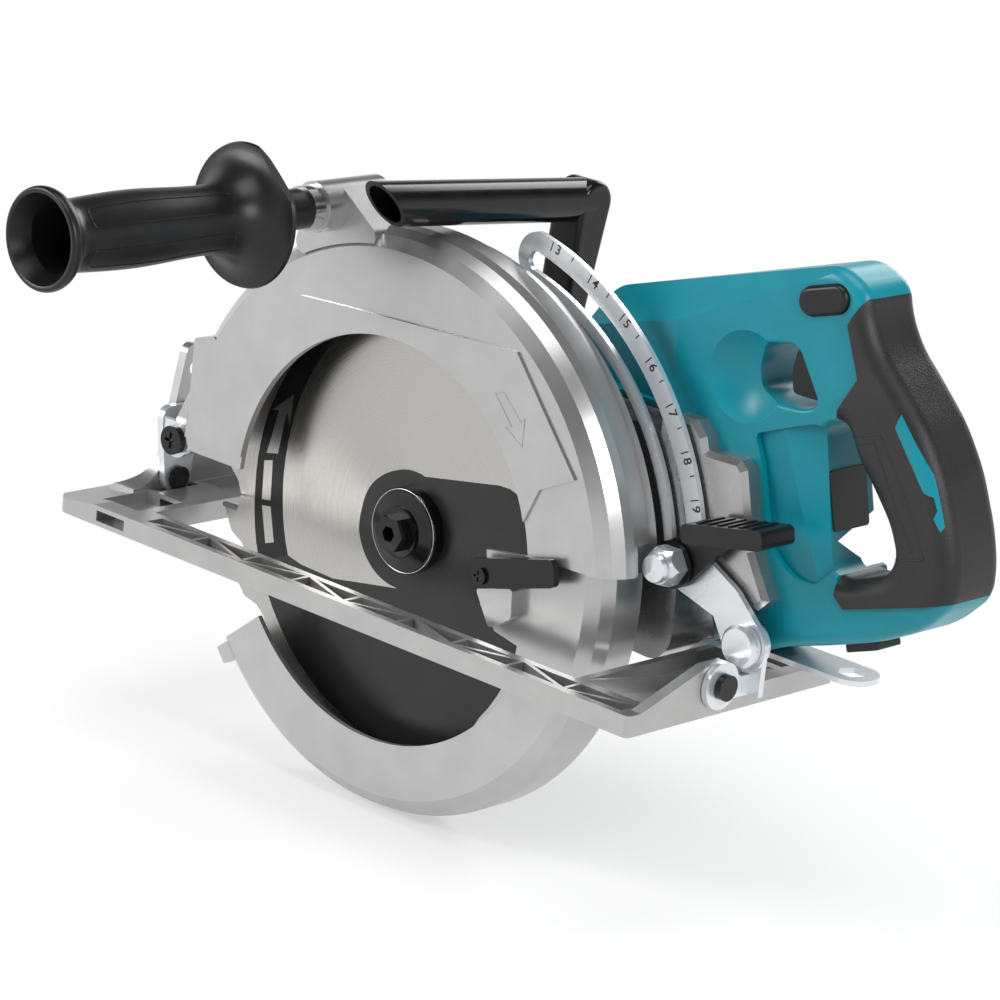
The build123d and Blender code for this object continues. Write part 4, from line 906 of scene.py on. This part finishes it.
for label, corners in palm_edges.items():
    route = []
    for (u, v), (p, q) in zip(corners, corners[1:]):
        for i in range(line_steps):
            route.append((u + (p - u) * i / line_steps, v + (q - v) * i / line_steps))
    route += corners[-1:]
    for side, place in ((BLADE_SIDE, "near"), (MOTOR_SIDE, "far")):
        spots = [on_grip(share, side) for share in route]
        spots = [spot for spot in spots if spot is not None]
        line = bead("grip_line_%s_%s" % (label, place), spots, line_bead, closed=False)
        adopt(line, "saw_body", finishes["soft_grip"])
print("lines on the rear grip:", 2 * len(palm_edges))

# %% [markdown]
# ## The bevel scale
# The plate behind the base's nose has a mark for every five degrees of tilt, which are read against
# the clamp bolt. The same tree of bars makes them: the yaw input turns the bars so that they lie on
# a face across x.

# %% Marks for the tilt
tilt_step = 5
tilt_end = 45
tilt_mark_length = 3.4 * MM
tilt_mark_width = 0.5 * MM
tilt_mark_reach = 7.2 * MM
probe_reach = 6 * MM
probe_angle = 20
bevel_hinge = Vector(joints["bevel_tilt"]["pos_m"])
tilt_bolt_low, tilt_bolt_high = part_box("bevel_clamp_bolt")
tilt_bolt = (tilt_bolt_low + tilt_bolt_high) / 2 - bevel_hinge
tilt_radius = math.hypot(tilt_bolt.y, tilt_bolt.z)
tilt_start = math.degrees(math.atan2(tilt_bolt.z, tilt_bolt.y))
probe = around((0, 0), tilt_radius + probe_reach, tilt_start + probe_angle)
probe_start = bevel_hinge + Vector((-RAY_START, *probe))
plate_face = nodes["bevel_quadrant"].ray_cast(probe_start, Vector((1, 0, 0)))[1].x
tilt_centre = (bevel_hinge.y, bevel_hinge.z)
tilt_places = []
tilt_turns = []
for degree in range(0, tilt_end + 1, tilt_step):
    y, z = around(tilt_centre, tilt_radius + tilt_mark_reach, tilt_start + degree)
    tilt_places.append((plate_face - mark_lift, y, z))
    tilt_turns.append(math.radians(90 - tilt_start - degree))
tilt_lengths = [tilt_mark_length] * len(tilt_places)
tilt_marks = point_holder("bevel_marks", tilt_places, {"turn": tilt_turns, "reach": tilt_lengths})
grown(tilt_marks, bars, bar_values(tilt_mark_width, math.pi / 2), "base")

# %% [markdown]
# ## Camera
# The view is a long lens from the blade side, from behind and a little above. The angles, the
# distance and the roll were fitted to the picture, and the matrix is built from them directly.

# %% Camera at the picture's angle
azimuth = math.radians(41.602)
elevation = math.radians(16.192)
roll = math.radians(5.979)
distance = 1808.86 * MM
sensor_width = 36
lens_per_width = 3.97995
focus = Vector((64.391, -13.855, 66.883)) * MM
back = Vector((
    math.sin(azimuth) * math.cos(elevation),
    -math.cos(azimuth) * math.cos(elevation),
    math.sin(elevation),
))
level = Vector((math.cos(azimuth), math.sin(azimuth), 0))
upward = back.cross(level)
right = math.cos(roll) * level + math.sin(roll) * upward
top = -math.sin(roll) * level + math.cos(roll) * upward
camera_data = bpy.data.cameras.new("camera")
camera_data.sensor_width = sensor_width
camera_data.lens = sensor_width * lens_per_width
camera_data.clip_end = 20
camera = linked("camera", camera_data)
camera_turn = Matrix((right, top, back)).transposed().to_4x4()
camera.matrix_world = Matrix.Translation(focus + distance * back) @ camera_turn
bpy.context.scene.camera = camera
print("camera distance in m:", round(distance, 2))

# %% [markdown]
# ## Floor and light
# The picture has a plain white ground. The floor is pale under the saw, where it shows the shadow,
# and turns into plain white further out. The world is white at the horizon and dark overhead, as a
# studio is above its backdrop, and metal shows both. Soft square lamps from the left, the top, the
# rear and the far side shape it.

# %% Floor that turns into plain white
floor_half = 4.0
floor_gap = 0.5 * MM
floor_z = solid_box[0].z - floor_gap
floor_corners = [
    (-floor_half, -floor_half, floor_z), (floor_half, -floor_half, floor_z),
    (floor_half, floor_half, floor_z), (-floor_half, floor_half, floor_z),
]
floor_mesh = bpy.data.meshes.new("floor")
floor_mesh.from_pydata(floor_corners, [], [(0, 1, 2, 3)])
floor = linked("floor", floor_mesh)


def white_rays(tree):
    """One for a ray that shows the background: from the camera, a reflection or a clear part."""
    rays = tree.nodes.new("ShaderNodeLightPath")
    total = rays.outputs["Is Camera Ray"]
    for kind in ("Is Glossy Ray", "Is Transmission Ray"):
        either = tree.nodes.new("ShaderNodeMath")
        either.operation = "MAXIMUM"
        tree.links.new(total, either.inputs[0])
        tree.links.new(rays.outputs[kind], either.inputs[1])
        total = either.outputs["Value"]
    return total


def fading_floor():
    """A pale floor that keeps the shadow under the saw and turns into plain white further out."""
    middle = (0.03, 0, floor_z)
    white_from = 0.45
    white_reach = 0.55
    material, tree, shader, place = new_material("Pale floor")
    pale = between(tree, noise(tree, place, 3.0), (0.86, 0.86, 0.86), (0.88, 0.88, 0.88))
    tree.links.new(pale, shader.inputs["Base Color"])
    shader.inputs["Roughness"].default_value = 0.6
    away = tree.nodes.new("ShaderNodeVectorMath")
    away.operation = "DISTANCE"
    away.inputs[1].default_value = middle
    tree.links.new(place, away.inputs[0])
    fade = tree.nodes.new("ShaderNodeMapRange")
    fade.interpolation_type = "SMOOTHSTEP"
    fade.inputs["From Min"].default_value = 0.0
    fade.inputs["From Max"].default_value = white_reach
    fade.inputs["To Min"].default_value = white_from
    tree.links.new(away.outputs["Value"], fade.inputs["Value"])
    share = tree.nodes.new("ShaderNodeMath")
    share.operation = "MULTIPLY"
    tree.links.new(fade.outputs["Result"], share.inputs[0])
    tree.links.new(white_rays(tree), share.inputs[1])
    white = tree.nodes.new("ShaderNodeEmission")
    blend = tree.nodes.new("ShaderNodeMixShader")
    tree.links.new(share.outputs["Value"], blend.inputs["Fac"])
    tree.links.new(shader.outputs["BSDF"], blend.inputs[1])
    tree.links.new(white.outputs["Emission"], blend.inputs[2])
    tree.links.new(blend.outputs["Shader"], tree.nodes["Material Output"].inputs["Surface"])
    material.cycles.emission_sampling = "NONE"
    return material


floor_mesh.materials.append(fading_floor())
print("floor at z in mm:", round(floor_z / MM, 1))

# %% World and lamps
horizon = (1, 1, 1)
overhead = (0.06, 0.06, 0.065)
world = bpy.data.worlds.new("studio")
bpy.context.scene.world = world
world.use_nodes = True
world.cycles.sampling_method = "NONE"
sky = world.node_tree
ambient = sky.nodes["Background"]
ambient.inputs["Color"].default_value = (0.95, 0.97, 1.0, 1)
ambient.inputs["Strength"].default_value = 0.42
ground = sky.nodes.new("ShaderNodeBackground")
heading = sky.nodes.new("ShaderNodeSeparateXYZ")
way = sky.nodes.new("ShaderNodeTexCoord").outputs["Generated"]
sky.links.new(way, heading.inputs["Vector"])
backdrop = between(sky, heading.outputs["Z"], horizon, overhead, start=0.08, end=0.45)
sky.links.new(backdrop, ground.inputs["Color"])
choice = sky.nodes.new("ShaderNodeMixShader")
sky.links.new(white_rays(sky), choice.inputs["Fac"])
sky.links.new(ambient.outputs["Background"], choice.inputs[1])
sky.links.new(ground.outputs["Background"], choice.inputs[2])
sky.links.new(choice.outputs["Shader"], sky.nodes["World Output"].inputs["Surface"])


def soft_lamp(name, place, size, power):
    """A square lamp that looks at the middle of the saw."""
    data = bpy.data.lights.new(name, "AREA")
    data.size = size
    data.energy = power
    lamp = linked(name, data)
    lamp.location = place
    lamp.rotation_euler = (focus - Vector(place)).to_track_quat("-Z", "Y").to_euler()
    return lamp


lamps = [
    soft_lamp("left_lamp", (-1.0, -1.1, 0.7), size=0.7, power=15),
    soft_lamp("top_lamp", (0.1, -0.3, 1.6), size=1.0, power=12),
    soft_lamp("rear_lamp", (1.4, -0.2, 0.9), size=0.6, power=12),
    soft_lamp("far_lamp", (-0.2, 1.4, 0.9), size=0.8, power=10),
]
bpy.context.scene.view_settings.view_transform = "Standard"
print("lamps:", [lamp.name for lamp in lamps])
